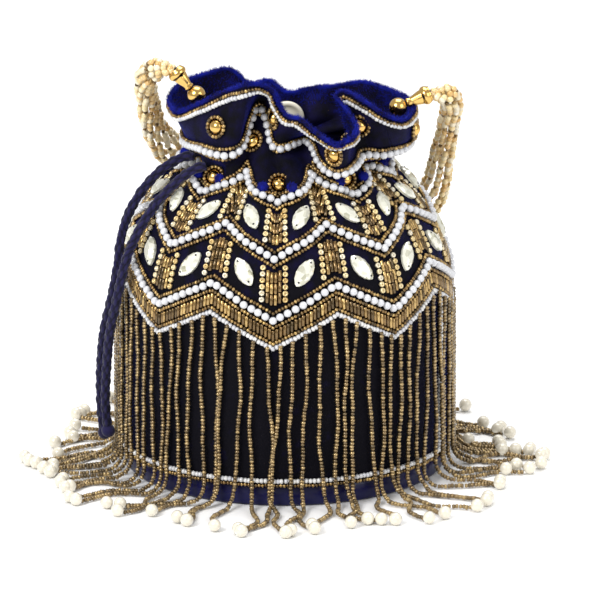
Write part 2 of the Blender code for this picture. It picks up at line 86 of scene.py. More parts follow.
# ---- fringe ----
FRINGE_R = 86.2 * MM                # inside of the hanging strands
FRINGE_CURL = 9 * MM
FRINGE_LENGTH = 133 * MM
FRINGE_PEARL = 7 * MM

# ---- frill: matching points on its pearl row and its rim, from the left side over the front, in mm ----
FRILL_RIBS = (
    ((-51, 2, 173), (-59.5, 2, 190.5)), ((-50, -10, 174.5), (-54.5, -15, 190.5)),
    ((-42, -30, 176.7), (-42, -30, 200)), ((-32, -41, 176.8), (-30, -36, 208)),
    ((-24.2, -38, 179), (-21, -43, 213)), ((-20.5, -28, 187), (-16, -44, 214.5)),
    ((-16.5, -21.5, 195), (-11, -42, 213)), ((-11, -21, 195), (-6.6, -39, 209)),
    ((-7, -28.5, 186), (-4, -37, 202)), ((-4.5, -35.5, 179), (1, -41, 196)),
    ((0.5, -34, 179), (7.5, -46, 196)), ((4.5, -28.5, 180), (14, -53, 192.5)),
    ((10, -25, 181), (20.5, -58, 189.3)), ((15, -31, 179.5), (26, -61, 187)),
    ((19.5, -43, 173), (31, -59, 188)), ((25.5, -52, 170.5), (35.5, -53, 189)),
    ((31.5, -50, 171), (37, -44, 191)), ((36, -40, 171.5), (32, -33, 197)),
    ((39, -32, 173.5), (27, -27, 203)), ((44, -28, 173.5), (31, -26, 205)),
    ((50, -26, 173.2), (41, -33, 201.5)), ((56, -20.5, 173.5), (51, -35, 195.2)),
    ((61.5, -12, 173), (60, -29, 190.5)), ((64, -2, 172.8), (65.5, -15, 190)),
    ((63, 9, 172.3), (66.5, 0, 191.5)), ((58, 22, 171.5), (61, 18, 190)),
    ((49, 36, 171), (52, 34, 189.5)), ((38, 40, 172), (40, 45, 189.5)),
    ((27, 46, 172), (26, 45, 187.5)), ((15, 43, 172), (14, 52, 184)),
    ((4, 47, 172), (2, 44, 184.5)), ((-8, 43, 172), (-8, 52, 188)),
    ((-18, 47, 173), (-18, 44, 189)), ((-29, 39, 173), (-29, 46, 196)),
    ((-40, 37, 173), (-42, 36, 196.5)), ((-47, 25, 173), (-53, 25, 195)),
    ((-51, 13, 173), (-58.5, 13, 193)),
)
FRILL_FIRST_TURN = -0.25

# ---- handle: end balls, cap mouths and the middle line of the strand bundle, in mm ----
BALL_R = 4.75 * MM
BALLS = {"left": (-45.6, -14.4, 200.9), "right": (58.4, -9.5, 193)}
MOUTHS = {"left": (-57, -12, 213.6), "right": (75, -6, 199.3)}
CAP_NARROW_R = 2.3 * MM
CAP_MOUTH_R = 4.3 * MM
STRANDS = 8
STRAND_RING = 4.4 * MM
STRAND_FAN = 9 * MM
STRAND_TWISTS = 1.25
HANDLE_ROUTE = (
    (-65.4, -12.4, 214.5), (-69.8, -7.5, 211.5), (-71.8, 1, 204.5), (-71.8, 12, 194.5), (-70.5, 22, 184.5),
    (-68.5, 34, 171), (-64, 49, 157.5), (-58, 64, 147.5), (-51, 78, 139), (-39, 88, 124), (-18, 95, 108),
    (8, 97, 101), (33, 91, 102), (54, 80.5, 107), (70, 68, 116), (78, 58, 128), (80, 50, 141),
    (82, 40, 154), (84, 29, 168), (85.3, 18, 180.5), (86.4, 6, 190.5), (83.4, -5.6, 198.4),
)

# ---- drawstring: two ends of one cord, leaving the neck on the left, in mm ----
CORD_D = 5 * MM
CORD_OUTER = (
    (-46.5, -21, 169.5), (-51, -20, 169.5), (-57.5, -19.5, 166.5), (-65.5, -19.5, 160.5), (-73.5, -20.5, 151.5),
    (-79.5, -23, 142), (-83, -26, 133.5), (-85, -28.5, 125), (-86.5, -30.5, 112.5), (-89.5, -28, 96),
    (-93.6, -21.5, 76), (-95.4, -15.5, 55), (-95.6, -12, 38), (-95, -10, 26), (-93.6, -9, 17),
)
CORD_INNER = (
    (-40.5, -31.8, 168), (-45.5, -32.6, 166.8), (-52.5, -32.4, 162.3), (-60, -32, 155), (-67.5, -32, 146),
    (-74, -35.5, 136.5), (-79.5, -38.5, 126), (-83.2, -39.5, 114), (-86.8, -37, 97), (-90.4, -30.5, 78),
    (-92.2, -24, 57.5), (-93, -20, 40), (-92.6, -18, 29), (-91.6, -17.2, 20.5),
)

# ---- press stud on the inside of the frill ----
STUD_R = 9 * MM
STUD_T = 2.2 * MM
STUD_PLACES = {"back": (1, 40, 173, 4), "front": (-2, -27, 169, -14)}

# ---------------------------------------------------------------- curves and the cloth surface

def smooth_line(points, per_span=12, closed=False):
    """Catmull-Rom curve through the points, as rows of coordinates."""
    points = np.asarray(points, float)
    if closed:
        ring = np.vstack([points[-1:], points, points[:2]])
    else:
        ring = np.vstack([2 * points[0] - points[1], points, 2 * points[-1] - points[-2]])
    step = np.linspace(0, 1, per_span, endpoint=False)[None, :, None]
    before, start, end, after = (ring[i:len(ring) - 3 + i, None] for i in range(4))
    curve = 0.5 * (2 * start + (end - before) * step
                   + (2 * before - 5 * start + 4 * end - after) * step ** 2
                   + (3 * start - before - 3 * end + after) * step ** 3)
    return np.vstack([curve.reshape(-1, points.shape[1]), ring[-2:-1]])


def run_length(line):
    """Distance along a line at each of its points."""
    return np.concatenate([[0], np.cumsum(np.linalg.norm(np.diff(line, axis=0), axis=1))])


def even_points(line, spacing):
    """The line cut into equal steps of about the given length."""
    along = run_length(line)
    at = np.linspace(0, along[-1], max(2, round(along[-1] / spacing) + 1))
    return np.stack([np.interp(at, along, line[:, i]) for i in range(3)], axis=1)


WALL_LINE = smooth_line(np.array(PROFILE) * MM)
WALL_CLIMB = WALL_LINE[0, 1] + run_length(WALL_LINE)
NECK_CLIMB = WALL_CLIMB[-1]
PEARL_CLIMB = NECK_CLIMB + FRILL_TO_PEARLS
RIM_CLIMB = NECK_CLIMB + FRILL_TO_RIM


def frill_lines():
    """Turn, pearl-row point and rim point along the frill, over a little more than one turn."""
    ribs = np.array(FRILL_RIBS) * MM
    both = smooth_line(ribs.reshape(len(ribs), 6), closed=True)
    run = (run_length(both[:, :3]) + run_length(both[:, 3:])) / 2
    turn = FRILL_FIRST_TURN + run / run[-1]
    once = slice(0, -1)
    turns = np.concatenate([turn[once] - 1, turn[once], turn + 1])
    return turns, np.vstack([both[once], both[once], both])


FRILL_TURNS, FRILL_POINTS = frill_lines()


def smooth_step(value):
    """0 below 0, 1 above 1, and an even S between."""
    value = np.clip(value, 0, 1)
    return value * value * (3 - 2 * value)


def wall(turn, climb):
    """The pouch up to its neck: the turned profile with gathers that deepen towards the neck."""
    angle = 2 * math.pi * turn
    radius = np.interp(climb, WALL_CLIMB, WALL_LINE[:, 0])
    height = np.interp(climb, WALL_CLIMB, WALL_LINE[:, 1])
    depth = FOLD_DEPTH * smooth_step((climb - FOLD_START) / (NECK_CLIMB - FOLD_START))
    uneven = 1 + 0.3 * np.sin(3 * angle + 1.1)
    folds = -np.cos(FOLDS * (angle - 2 * math.pi * FRONT_TURN) + 0.5 * np.sin(2 * angle))
    radius = radius + depth * uneven * folds
    return np.stack([radius * np.sin(angle), -radius * np.cos(angle), height], axis=-1)


def frill(turn, climb):
    """The frill above the neck: a smooth run from the neck through the pearl row to the rim."""
    below = wall(turn, np.full_like(climb, NECK_CLIMB - 8 * MM))
    neck = wall(turn, np.full_like(climb, NECK_CLIMB))
    pearls, rim = (np.stack([np.interp(turn, FRILL_TURNS, FRILL_POINTS[:, first + i])
                             for i in range(3)], axis=-1)
                   for first in (0, 3))
    lower = (climb < PEARL_CLIMB)[..., None]
    start, end = np.where(lower, neck, pearls), np.where(lower, pearls, rim)
    span = np.where(lower, FRILL_TO_PEARLS, FRILL_TO_RIM - FRILL_TO_PEARLS)
    slope_neck = (pearls - below) / (FRILL_TO_PEARLS + 8 * MM)
    slope_pearls = (rim - neck) / FRILL_TO_RIM
    slope_rim = (rim - pearls) / (FRILL_TO_RIM - FRILL_TO_PEARLS)
    leave = np.where(lower, slope_neck, slope_pearls) * span
    arrive = np.where(lower, slope_pearls, slope_rim) * span
    first = np.where(climb < PEARL_CLIMB, NECK_CLIMB, PEARL_CLIMB)[..., None]
    t = (climb[..., None] - first) / span
    return (start * (2 * t ** 3 - 3 * t ** 2 + 1) + leave * (t ** 3 - 2 * t ** 2 + t)
            + end * (3 * t ** 2 - 2 * t ** 3) + arrive * (t ** 3 - t ** 2))


def cloth(turn, climb):
    """Point of the velvet's outer face."""
    turn, climb = np.broadcast_arrays(np.asarray(turn, float), np.asarray(climb, float))
    turn = (turn + 0.5) % 1 - 0.5
    return np.where((climb <= NECK_CLIMB)[..., None], wall(turn, climb), frill(turn, climb))


def cloth_normal(turn, climb):
    """Outward normal of the velvet's outer face."""
    small_turn, small_climb = 0.0015, 0.8 * MM
    along = cloth(turn + small_turn, climb) - cloth(turn - small_turn, climb)
    up = cloth(turn, np.minimum(climb + small_climb, RIM_CLIMB)) - cloth(turn, climb - small_climb)
    normal = np.cross(along, up)
    return normal / np.linalg.norm(normal, axis=-1, keepdims=True)


def off_cloth(turn, climb, distance):
    """Point at a distance outwards from the velvet's outer face."""
    turn, climb = np.broadcast_arrays(np.asarray(turn, float), np.asarray(climb, float))
    return cloth(turn, climb) + cloth_normal(turn, climb) * np.asarray(distance, float)[..., None]


def zigzag(turn):
    """Rise of the zigzag at a turn: 0 in the valleys, ZIGZAG_RISE at the peaks."""
    phase = ((turn - FRONT_TURN) * REPEATS) % 1
    return ZIGZAG_RISE * (1 - np.abs(1 - 2 * phase))


# ---------------------------------------------------------------- beads and trims, in metres
PEARL_D = 4.2 * MM
PEARL_PITCH = 4.35 * MM
SEED_D = 2.4 * MM
SEED_PITCH = 1.85 * MM
WHITE_D = 2.9 * MM
WHITE_L = 1.95 * MM
WHITE_PITCH = 2.1 * MM
BUGLE_L = 5.7 * MM
BUGLE_D = 2 * MM
BUGLE_PITCH = 2.2 * MM
CUP_D = 3.2 * MM
CUP_PITCH = 3.25 * MM
COLUMN_PITCH = 2.1 * MM             # from bugle to bugle across a column
COLUMN_BUGLE_L = 5.5 * MM
STONE_FULL_W = 8.4 * MM             # leaf stones with their setting
SEW_SLACK = 0.1 * MM                # how far hand-sewn beads stray
FRINGE_BEAD_D = 2.7 * MM
FRINGE_STRANDS = 10                 # in each of the eight curtains
STRAND_BEAD_D = 3.5 * MM
RIM_ROLL = 1.5 * MM                 # radius of the rolled velvet edge
DOME_D = 7.6 * MM
DOME_RING_D = 10.4 * MM
PILE_L = 1.8 * MM                   # length of the loose pile at the rim
PILE_SPIKES = 15000
TUCK_D = 5.4 * MM                   # tucks of velvet pushed out beside the valley flowers
DOME_SEEDS = 16
# flowers sewn to the frill and to the pleats: turn, climb above the neck in mm
FRILL_FLOWERS = ((-0.14, 36), (-0.02, 36), (0.1, 36), (0.2, 36), (0.3, 36), (0.4, 36), (0.5, 36), (0.6, 36),
                 (0.7, 36))
PLEAT_FLOWERS = ((-0.06, 10), (0.08, 10))
VALLEY_FLOWER_CLIMB = ROW_A + 11 * MM

HEX = {
    # The darkest velvet colour is painted shade and the lit velvet colour is a painted highlight.
    "velvet_painted_shade": "#03020a", "velvet_mid": "#0a062e", "velvet_lit": "#101c8c", "velvet_sheen": "#3040e0",
    "satin": "#06073e", "board": "#a58e6c", "pearl": "#cbccd0", "pearl_shade": "#bdbec4",
    # The stones' dark foil colour is painted shade and reflection on their facets.
    "ivory": "#dfd8c6", "stone_facet_shade": "#a8a68c",
    "khaki_dark": "#5f4f33", "khaki": "#87704a", "khaki_light": "#b59c6c",
    "gold_dark": "#4d3d21", "gold": "#86693c", "gold_light": "#c4a568", "white": "#dcdbd8",
    "stone": "#e6e5d6", "metal": "#dcb469", "cream": "#e3cf9c", "honey": "#c89c54",
    # The cord's groove colour is painted shade between the braid's strands.
    "cord": "#1f1c42", "cord_groove_shade": "#070612",
    "stud": "#d2cdbc", "thread": "#0d0b14", "floor": "#f7f7f7",
}


# ---------------------------------------------------------------- mesh making

def grid_quads(rows, cols, round_cols=False, round_rows=False):
    """Quads of a grid whose points are numbered row by row, facing along (columns x rows)."""
    row = np.arange(rows if round_rows else rows - 1)[:, None]
    col = np.arange(cols if round_cols else cols - 1)[None, :]
    over, right = (row + 1) % rows, (col + 1) % cols
    return np.stack([row * cols + col, row * cols + right, over * cols + right, over * cols + col],
                    axis=-1).reshape(-1, 4)


def lathe(outline, sides):
    """Outline of (radius, height), from the lower pole to the upper, turned about Z: (r cos a, r sin a, h)."""
    outline = np.asarray(outline, float)
    rings = outline[1:-1]
    angle = 2 * math.pi * np.arange(sides) / sides
    body = np.stack([rings[:, :1] * np.cos(angle), rings[:, :1] * np.sin(angle),
                     np.repeat(rings[:, 1:], sides, axis=1)], axis=-1).reshape(-1, 3)
    poles = np.array([[0, 0, outline[0, 1]], [0, 0, outline[-1, 1]]])
    low, high = len(body), len(body) + 1
    here = np.arange(sides)
    after = (here + 1) % sides
    top = (len(rings) - 1) * sides
    tris = np.concatenate([np.stack([np.full(sides, low), after, here], axis=1),
                           np.stack([np.full(sides, high), top + here, top + after], axis=1)])
    return np.vstack([body, poles]), grid_quads(len(rings), sides, round_cols=True), tris


def ball(diameter, sides=8, rings=5, squeeze=1.0):
    """Sphere of rings + 1 bands: radius R sin v at height -R cos v, flattened by squeeze."""
    lean = np.linspace(0, math.pi, rings + 2)
    outline = np.stack([np.sin(lean) * diameter / 2, -np.cos(lean) * diameter / 2 * squeeze], axis=1)
    return lathe(outline, sides)


def barrel(diameter, length, sides=6, end=0.72):
    """Short drum bead: full radius at the middle, end times the radius at both flat ends."""
    radius, half = diameter / 2, length / 2
    return lathe(((0, -half * 0.9), (radius * end, -half), (radius, 0), (radius * end, half),
                  (0, half * 0.9)), sides)


def rod(diameter, length, sides=6):
    """Bugle bead: straight tube with a small chamfer at both ends."""
    radius, half = diameter / 2, length / 2
    cut = 0.25 * radius
    return lathe(((0, -half), (radius - cut, -half), (radius, -half + cut), (radius, half - cut),
                  (radius - cut, half), (0, half)), sides)


def copies(template, places, axes, tint=None, mat=0, flat=False, sizes=None):
    """Copies of a template: point = place + x X + y Y + z Z with the rows of axes as X, Y and Z."""
    verts, quads, tris = template
    count, each = len(places), len(verts)
    local = np.broadcast_to(verts, (count, each, 3))
    if sizes is not None:
        local = local * np.asarray(sizes)[:, None, None]
    moved = places[:, None] + np.einsum("nvi,nij->nvj", local, axes)
    shift = (np.arange(count) * each)[:, None, None]
    shade = np.repeat(SHUFFLE.random(count) if tint is None else np.broadcast_to(tint, count), each)
    return {"verts": moved.reshape(-1, 3), "quads": (quads[None] + shift).reshape(-1, 4),
            "tris": (tris[None] + shift).reshape(-1, 3), "tint": shade, "mat": mat, "flat": flat}


def lone(verts, quads, tris=None, tint=0.5, mat=0, flat=False):
    """A single surface as a chunk for add_piece."""
    verts = np.asarray(verts).reshape(-1, 3)
    tris = np.zeros((0, 3), int) if tris is None else tris
    return {"verts": verts, "quads": quads, "tris": tris, "tint": np.broadcast_to(tint, len(verts)), "mat": mat,
            "flat": flat}


def add_piece(name, chunks, materials, body="bag", stands_for=()):
    """One mesh object at the origin from the chunks, riding on a body and standing for CAD nodes."""
    starts = np.cumsum([0] + [len(chunk["verts"]) for chunk in chunks])
    corners, sizes, mats, flats = [], [], [], []
    for chunk, start in zip(chunks, starts):
        for faces in (chunk["quads"], chunk["tris"]):
            corners.append((np.asarray(faces, int) + start).ravel())
            sizes.append(np.full(len(faces), faces.shape[1]))
            mats.append(np.full(len(faces), chunk["mat"]))
            flats.append(np.full(len(faces), chunk["flat"]))
    sizes = np.concatenate(sizes)
    mesh = bpy.data.meshes.new(name)
    mesh.vertices.add(starts[-1])
    mesh.vertices.foreach_set(
        "co", np.concatenate([chunk["verts"] for chunk in chunks]).astype(np.float32).ravel())
    mesh.loops.add(int(sizes.sum()))
    mesh.loops.foreach_set("vertex_index", np.concatenate(corners).astype(np.int32))
    mesh.polygons.add(len(sizes))
    mesh.polygons.foreach_set("loop_start", np.concatenate([[0], np.cumsum(sizes)[:-1]]).astype(np.int32))
    mesh.update(calc_edges=True)
    mesh.polygons.foreach_set("material_index", np.concatenate(mats).astype(np.int32))
    mesh.polygons.foreach_set("use_smooth", ~np.concatenate(flats).astype(bool))
    tint = mesh.attributes.new("tint", "FLOAT", "POINT")
    tint.data.foreach_set("value", np.concatenate([chunk["tint"] for chunk in chunks]).astype(np.float32))
    for material in materials:
        mesh.materials.append(material)
    piece = bpy.data.objects.new(name, mesh)
    bpy.context.collection.objects.link(piece)
    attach(piece, body)
    if stands_for:
        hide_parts(*stands_for)
    return piece


# ---------------------------------------------------------------- places on the cloth and along lines

SHUFFLE = np.random.default_rng(7)


def unit(vectors):
    """The vectors scaled to length one."""
    return vectors / np.linalg.norm(vectors, axis=-1, keepdims=True)


def cloth_axes(turn, climb):
    """Right, up and outward directions of the cloth, as rows of a matrix for each place."""
    out = cloth_normal(turn, climb)
    right = unit(cloth(turn + 0.0005, climb) - cloth(turn - 0.0005, climb))
    right = unit(right - out * np.sum(right * out, axis=-1, keepdims=True))
    return np.stack([right, np.cross(out, right), out], axis=-2)


def sewn_line(turns, climbs, away, pitch, closed=False):
    """Even places along a line on the cloth: point, axes (Z along the line, Y outwards), turn and climb."""
    line = off_cloth(turns, climbs, away)
    run = run_length(line)
    count = int(round(run[-1] / pitch))
    at = (np.arange(count) + (0 if closed else 0.5)) * run[-1] / count
    turn, climb = np.interp(at, run, turns), np.interp(at, run, climbs)
    step = 0.4 * MM
    ahead, behind = (np.stack([np.interp(np.clip(at + shift, 0, run[-1]), run, line[:, i])
                               for i in range(3)], axis=1)
                     for shift in (step, -step))
    out = cloth_normal(turn, climb)
    along = unit(ahead - behind)
    out = unit(out - along * np.sum(out * along, axis=1, keepdims=True))
    place = off_cloth(turn, climb, away) + SHUFFLE.normal(0, SEW_SLACK, (count, 3))
    return place, np.stack([np.cross(out, along), out, along], axis=1), turn, climb


def ring_line(climb_of, away, pitch):
    """Even places on a line right round the bag whose climb follows from the turn."""
    turns = FRONT_TURN + np.linspace(0, 1, 2400)
    return sewn_line(turns, climb_of(turns), away, pitch, closed=True)


def zigzag_line(valley, away, pitch):
    """Even places on a zigzag whose valleys lie at the given climb."""
    return ring_line(lambda turn: valley + zigzag(turn), away, pitch)


def level_line(climb, away, pitch):
    """Even places on a line at one climb."""
    return ring_line(lambda turn: np.full_like(turn, climb), away, pitch)


def border_lines(shift, inset):
    """Turns and climbs of the border's three sides: up the left, along the base and up the right."""
    left, right = (turn + shift for turn in BORDER_TURNS)
    push = inset / (2 * math.pi * BODY_R)
    low = BORDER_CLIMB + inset
    ends = np.array([left + push, right - push])
    tops = ROW_C + zigzag(ends) + WHITE_ROW[0] - 1.5 * MM
    side = [np.linspace(low, top, 60) for top in tops]
    base = np.linspace(ends[0], ends[1], 200)
    return ((np.full(60, ends[0]), side[0]), (base, np.full(200, low)), (np.full(60, ends[1]), side[1]))


def along_axes(line):
    """Axes along a free line, with Z along it and X away from the vertical."""
    along = unit(np.gradient(line, axis=0))
    side = unit(np.cross(along, np.array([0.31, 0.22, 0.93])))
    return np.stack([side, np.cross(along, side), along], axis=1)


# ---------------------------------------------------------------- materials

def linear(hexadecimal):
    """Scene-linear colour of an sRGB hex colour."""
    parts = [int(hexadecimal[i:i + 2], 16) / 255 for i in (1, 3, 5)]
    return tuple(part / 12.92 if part <= 0.04045 else ((part + 0.055) / 1.055) ** 2.4
                 for part in parts) + (1.0,)


def add_node(tree, kind, settings=None, sockets=None, links=None):
    """A node with its properties, socket values and incoming links set."""
    made = tree.nodes.new(kind)
    for name, value in (settings or {}).items():
        setattr(made, name, value)
    for name, value in (sockets or {}).items():
        made.inputs[name].default_value = value
    for name, source in (links or {}).items():
        tree.links.new(source, made.inputs[name])
    return made


def new_material(name, color, roughness, metallic=0.0, **sockets):
    """A material and its Principled shader."""
    made = bpy.data.materials.new(name)
    made.use_nodes = True
    shader = made.node_tree.nodes["Principled BSDF"]
    shader.inputs["Base Color"].default_value = linear(HEX[color])
    shader.inputs["Roughness"].default_value = roughness
    shader.inputs["Metallic"].default_value = metallic
    for name, value in sockets.items():
        shader.inputs[name.replace("_", " ")].default_value = value
    return made, made.node_tree, shader


def ramp(tree, factor, stops):
    """A colour ramp over a factor from (position, hex name) stops."""
    made = add_node(tree, "ShaderNodeValToRGB", links={"Fac": factor})
    cells = made.color_ramp.elements
    while len(cells) < len(stops):
        cells.new(0.5)
    for cell, (place, color) in zip(cells, stops):
        cell.position = place
        cell.color = linear(HEX[color])
    return made.outputs["Color"]


def noise(tree, size, detail=2.0, rough=0.5):
    """Noise whose patches are about size metres across, in the object's own coordinates."""
    place = add_node(tree, "ShaderNodeTexCoord").outputs["Object"]
    return add_node(tree, "ShaderNodeTexNoise",
                    sockets={"Scale": 1 / size, "Detail": detail, "Roughness": rough},
                    links={"Vector": place}).outputs["Fac"]


def bump(tree, shader, height, depth, strength=1.0):
    """Relief of a given depth in metres from a 0 to 1 height."""
    made = add_node(tree, "ShaderNodeBump", sockets={"Distance": depth, "Strength": strength},
                    links={"Height": height})
    tree.links.new(made.outputs["Normal"], shader.inputs["Normal"])


def tinted(material_parts, stops):
    """Colours a bead material bead by bead, from the random tint that each bead carries."""
    made, tree, shader = material_parts
    tint = add_node(tree, "ShaderNodeAttribute", settings={"attribute_name": "tint"}).outputs["Fac"]
    tree.links.new(ramp(tree, tint, stops), shader.inputs["Base Color"])
    return made


def velvet_material():
    """Crushed silk velvet with a royal blue sheen where the pile turns to the light; its base colour holds
    painted shade and painted highlight, set by the crush patches and by the painted light level on the cloth.
    """
    made, tree, shader = new_material(
        "Silk velvet, crushed pile", "velvet_mid", 0.85, Sheen_Weight=0.45, Sheen_Roughness=0.28,
        Sheen_Tint=linear(HEX["velvet_sheen"]), Specular_IOR_Level=0.15)
    crush_and_sheen = noise(tree, 9 * MM, 3.0, 0.6)      # leaning patches of pile, painted lighter and darker as sheen and shade in the base colour
    painted_light_and_shade = add_node(tree, "ShaderNodeAttribute", settings={"attribute_name": "tint"}).outputs["Fac"]
    lit = add_node(tree, "ShaderNodeMath", settings={"operation": "MULTIPLY_ADD"},
                   sockets={1: 0.9}, links={0: crush_and_sheen, 2: painted_light_and_shade}).outputs["Value"]
    # Painted shade at the darkest stop, painted highlight at the lit stop.
    tree.links.new(ramp(tree, lit, ((0.4, "velvet_painted_shade"), (0.7, "velvet_mid"), (1.0, "velvet_lit"))),
                   shader.inputs["Base Color"])
    pile = noise(tree, 0.5 * MM, 2.0, 0.6)       # single tufts
    both = add_node(tree, "ShaderNodeMath", settings={"operation": "MULTIPLY_ADD"},
                    sockets={1: 2.2}, links={0: crush_and_sheen, 2: pile}).outputs["Value"]
    bump(tree, shader, both, 0.5 * MM, 0.55)
    return made


def satin_material():
    """Polyester satin drawn over a board: long warp threads give a soft streaked shine."""
    made, tree, shader = new_material("Polyester satin, stretched", "satin", 0.3, Anisotropic=0.5,
                                      Specular_IOR_Level=0.3)
    bump(tree, shader, noise(tree, 3 * MM, 2.0), 0.25 * MM, 0.5)
    return made


def cord_material():
    """Spun cotton braid: matt, with a fine twist in every strand."""
    parts = new_material("Cotton cord, braided", "cord", 0.85, Sheen_Weight=0.15, Specular_IOR_Level=0.15)
    bump(parts[1], parts[2], noise(parts[1], 0.35 * MM, 2.0), 0.15 * MM, 0.7)
    # Painted shade: the colour darkens towards the groove colour where the braid's strands sink.
    return tinted(parts, ((0.1, "cord_groove_shade"), (0.8, "cord")))


def board_material():
    """Grey-brown pressed card, seen only from inside the open pouch."""
    made, tree, shader = new_material("Pressed card, die cut", "board", 0.85)
    bump(tree, shader, noise(tree, 0.8 * MM, 3.0), 0.05 * MM, 0.5)
    return made


def thread_material():
    """Black waxed sewing thread, dull with a slight gloss on the twist."""
    made, tree, shader = new_material("Waxed thread, twisted", "thread", 0.6)
    bump(tree, shader, noise(tree, 0.3 * MM), 0.05 * MM, 0.5)
    return made


def pearl_material(name, color):
    """Moulded plastic pearl with a lacquer skin: a soft body colour under a clear, wet highlight."""
    made, tree, shader = new_material(name, color, 0.24, Coat_Weight=1.0, Coat_Roughness=0.05,
                                      Specular_IOR_Level=0.5,
                                      Sheen_Weight=0.15)
    bump(tree, shader, noise(tree, 1.2 * MM, 1.0), 0.02 * MM, 0.4)
    return made


def stone_material():
    """Acrylic stone on crinkled foil: cells of painted light and shade in the base colour stand for the
    reflections of its facets, under a hard, glassy face.
    """
    made, tree, shader = new_material("Acrylic stone, foil backed", "stone", 0.07, 0.25, Coat_Weight=1.0,
                                      Coat_Roughness=0.02)
    place = add_node(tree, "ShaderNodeTexCoord").outputs["Object"]
    # Painted reflection: the facets' light and dark patches are painted as Voronoi cells.
    cells = add_node(tree, "ShaderNodeTexVoronoi", sockets={"Scale": 1 / (2.6 * MM)}, links={"Vector": place})
    tree.links.new(ramp(tree, cells.outputs["Color"], ((0.1, "stone_facet_shade"), (0.45, "stone"))),
                   shader.inputs["Base Color"])
    return made


def make_materials():
    """All materials by a short name, made once."""
    gold_bead = new_material("Glass seed bead, bronze lined", "gold", 0.3, 0.85, Coat_Weight=0.5,
                             Coat_Roughness=0.1)
    bugle = new_material("Glass bugle bead, bronze lined", "gold", 0.25, 0.85, Coat_Weight=0.6,
                         Coat_Roughness=0.08)
    white = new_material("Glass seed bead, chalk white", "white", 0.3, Coat_Weight=0.6, Coat_Roughness=0.1)
    strand = new_material("Glass bead, champagne lustre", "cream", 0.28, 0.1, Coat_Weight=0.7,
                          Coat_Roughness=0.1)
    khaki = new_material("Glass seed bead, khaki lustre", "khaki", 0.3, 0.75, Coat_Weight=0.6,
                         Coat_Roughness=0.1)
    cup = new_material("Cupped bead, gold rimmed", "gold_light", 0.3, 0.6, Coat_Weight=0.4, Coat_Roughness=0.1)
    return {
        "velvet": velvet_material(), "satin": satin_material(), "cord": cord_material(),
        "board": board_material(),
        "thread": thread_material(),
        "pearl": pearl_material("Plastic pearl, lacquered", "pearl"),
        "ivory": pearl_material("Plastic pearl, ivory lacquer", "ivory"),
        "gold_bead": tinted(gold_bead, ((0.0, "gold_dark"), (0.45, "gold"), (1.0, "gold_light"))),
        "bugle": tinted(bugle, ((0.0, "gold_dark"), (0.6, "gold"), (1.0, "gold_light"))),
        "white_bead": tinted(white, ((0.0, "pearl_shade"), (1.0, "white"))),
        "handle_bead": tinted(strand, ((0.0, "honey"), (0.6, "cream"), (1.0, "ivory"))),
        "fringe_bead": tinted(khaki, ((0.0, "khaki_dark"), (0.5, "khaki"), (1.0, "khaki_light"))),
        "cup": tinted(cup, ((0.0, "gold_light"), (0.5, "cream"), (1.0, "ivory"))),
        "stone": stone_material(),
        "gold_metal": new_material("Brass, gold plated and polished", "metal", 0.16, 1.0)[0],
        "stud": new_material("Nylon press stud, moulded", "stud", 0.38, Coat_Weight=0.2)[0],
    }


# ---------------------------------------------------------------- cords and the handle

def braid(line, diameter, wave=400, sides=20):
    """Closed braided tube round the line: radius R (0.7 + 0.4 |sin(2a + ks) sin(2a - ks)|^0.6)."""
    axes = along_axes(line)
    run = run_length(line)[:, None]
    angle = 2 * math.pi * np.arange(sides) / sides
    lift = np.abs(np.sin(2 * angle + wave * run) * np.sin(2 * angle - wave * run)) ** 0.6
    radius = diameter / 2 * (0.7 + 0.4 * lift)
    radius[[0, -1]] *= 0.55
    skin = line[:, None] + radius[..., None] * (np.cos(angle)[None, :, None] * axes[:, None, 0]
                                                + np.sin(angle)[None, :, None] * axes[:, None, 1])
    verts = np.vstack([skin.reshape(-1, 3), line[:1], line[-1:]])
    here, after, top = np.arange(sides), (np.arange(sides) + 1) % sides, (len(line) - 1) * sides
    tris = np.concatenate([np.stack([np.full(sides, len(verts) - 2), after, here], axis=1),
                           np.stack([np.full(sides, len(verts) - 1), top + here, top + after], axis=1)])
    # The strands' lift is passed on as tint, from which the cord material paints shade into the low grooves.
    return lone(verts, grid_quads(len(line), sides, round_cols=True), tris,
                tint=np.append(lift.ravel(), (0.5, 0.5)))


def make_drawstring(props, mats):
    """Both ends of the braided drawstring, each with the knot that ends it."""
    for name, route in (("outer", CORD_OUTER), ("inner", CORD_INNER)):
        line = even_points(smooth_line(np.array(route) * MM), 0.6 * MM)
        piece = add_piece(f"drawstring_{name}_braid", [braid(line, CORD_D)], [mats["cord"]],
                          stands_for=[f"drawstring_{name}"])
        knot = add_piece(f"drawstring_{name}_knot",
                         [copies(ball(1.45 * CORD_D, 14, 9), line[-1:], along_axes(line)[-1:])],
                         [mats["cord"]])


def strand_lines():
    """Middle lines of the eight handle strands, on a twisting oval ring round the handle's middle line."""
    line = even_points(smooth_line(np.array(HANDLE_ROUTE) * MM), 15 * MM)
    along = unit(np.gradient(line, axis=0))
    away = line * (1, 1, 0)
    away = unit(away - along * np.sum(away * along, axis=1, keepdims=True))
    across = np.cross(along, away)
    share = np.linspace(0, 1, len(line))
    fan = STRAND_RING + (STRAND_FAN - STRAND_RING) * np.sin(math.pi * share) ** 0.8
    angles = 2 * math.pi * (np.arange(STRANDS)[:, None] / STRANDS + STRAND_TWISTS * share)
    offset = away * (STRAND_RING * np.cos(angles))[..., None] + across * (fan * np.sin(angles))[..., None]
    mouths = [np.array(MOUTHS[side]) * MM for side in ("left", "right")]
    lines = [np.vstack([mouths[0] + 0.2 * off[0], line + off, mouths[1] + 0.2 * off[-1]]) for off in offset]
    return [smooth_line(strand, 12) for strand in lines]


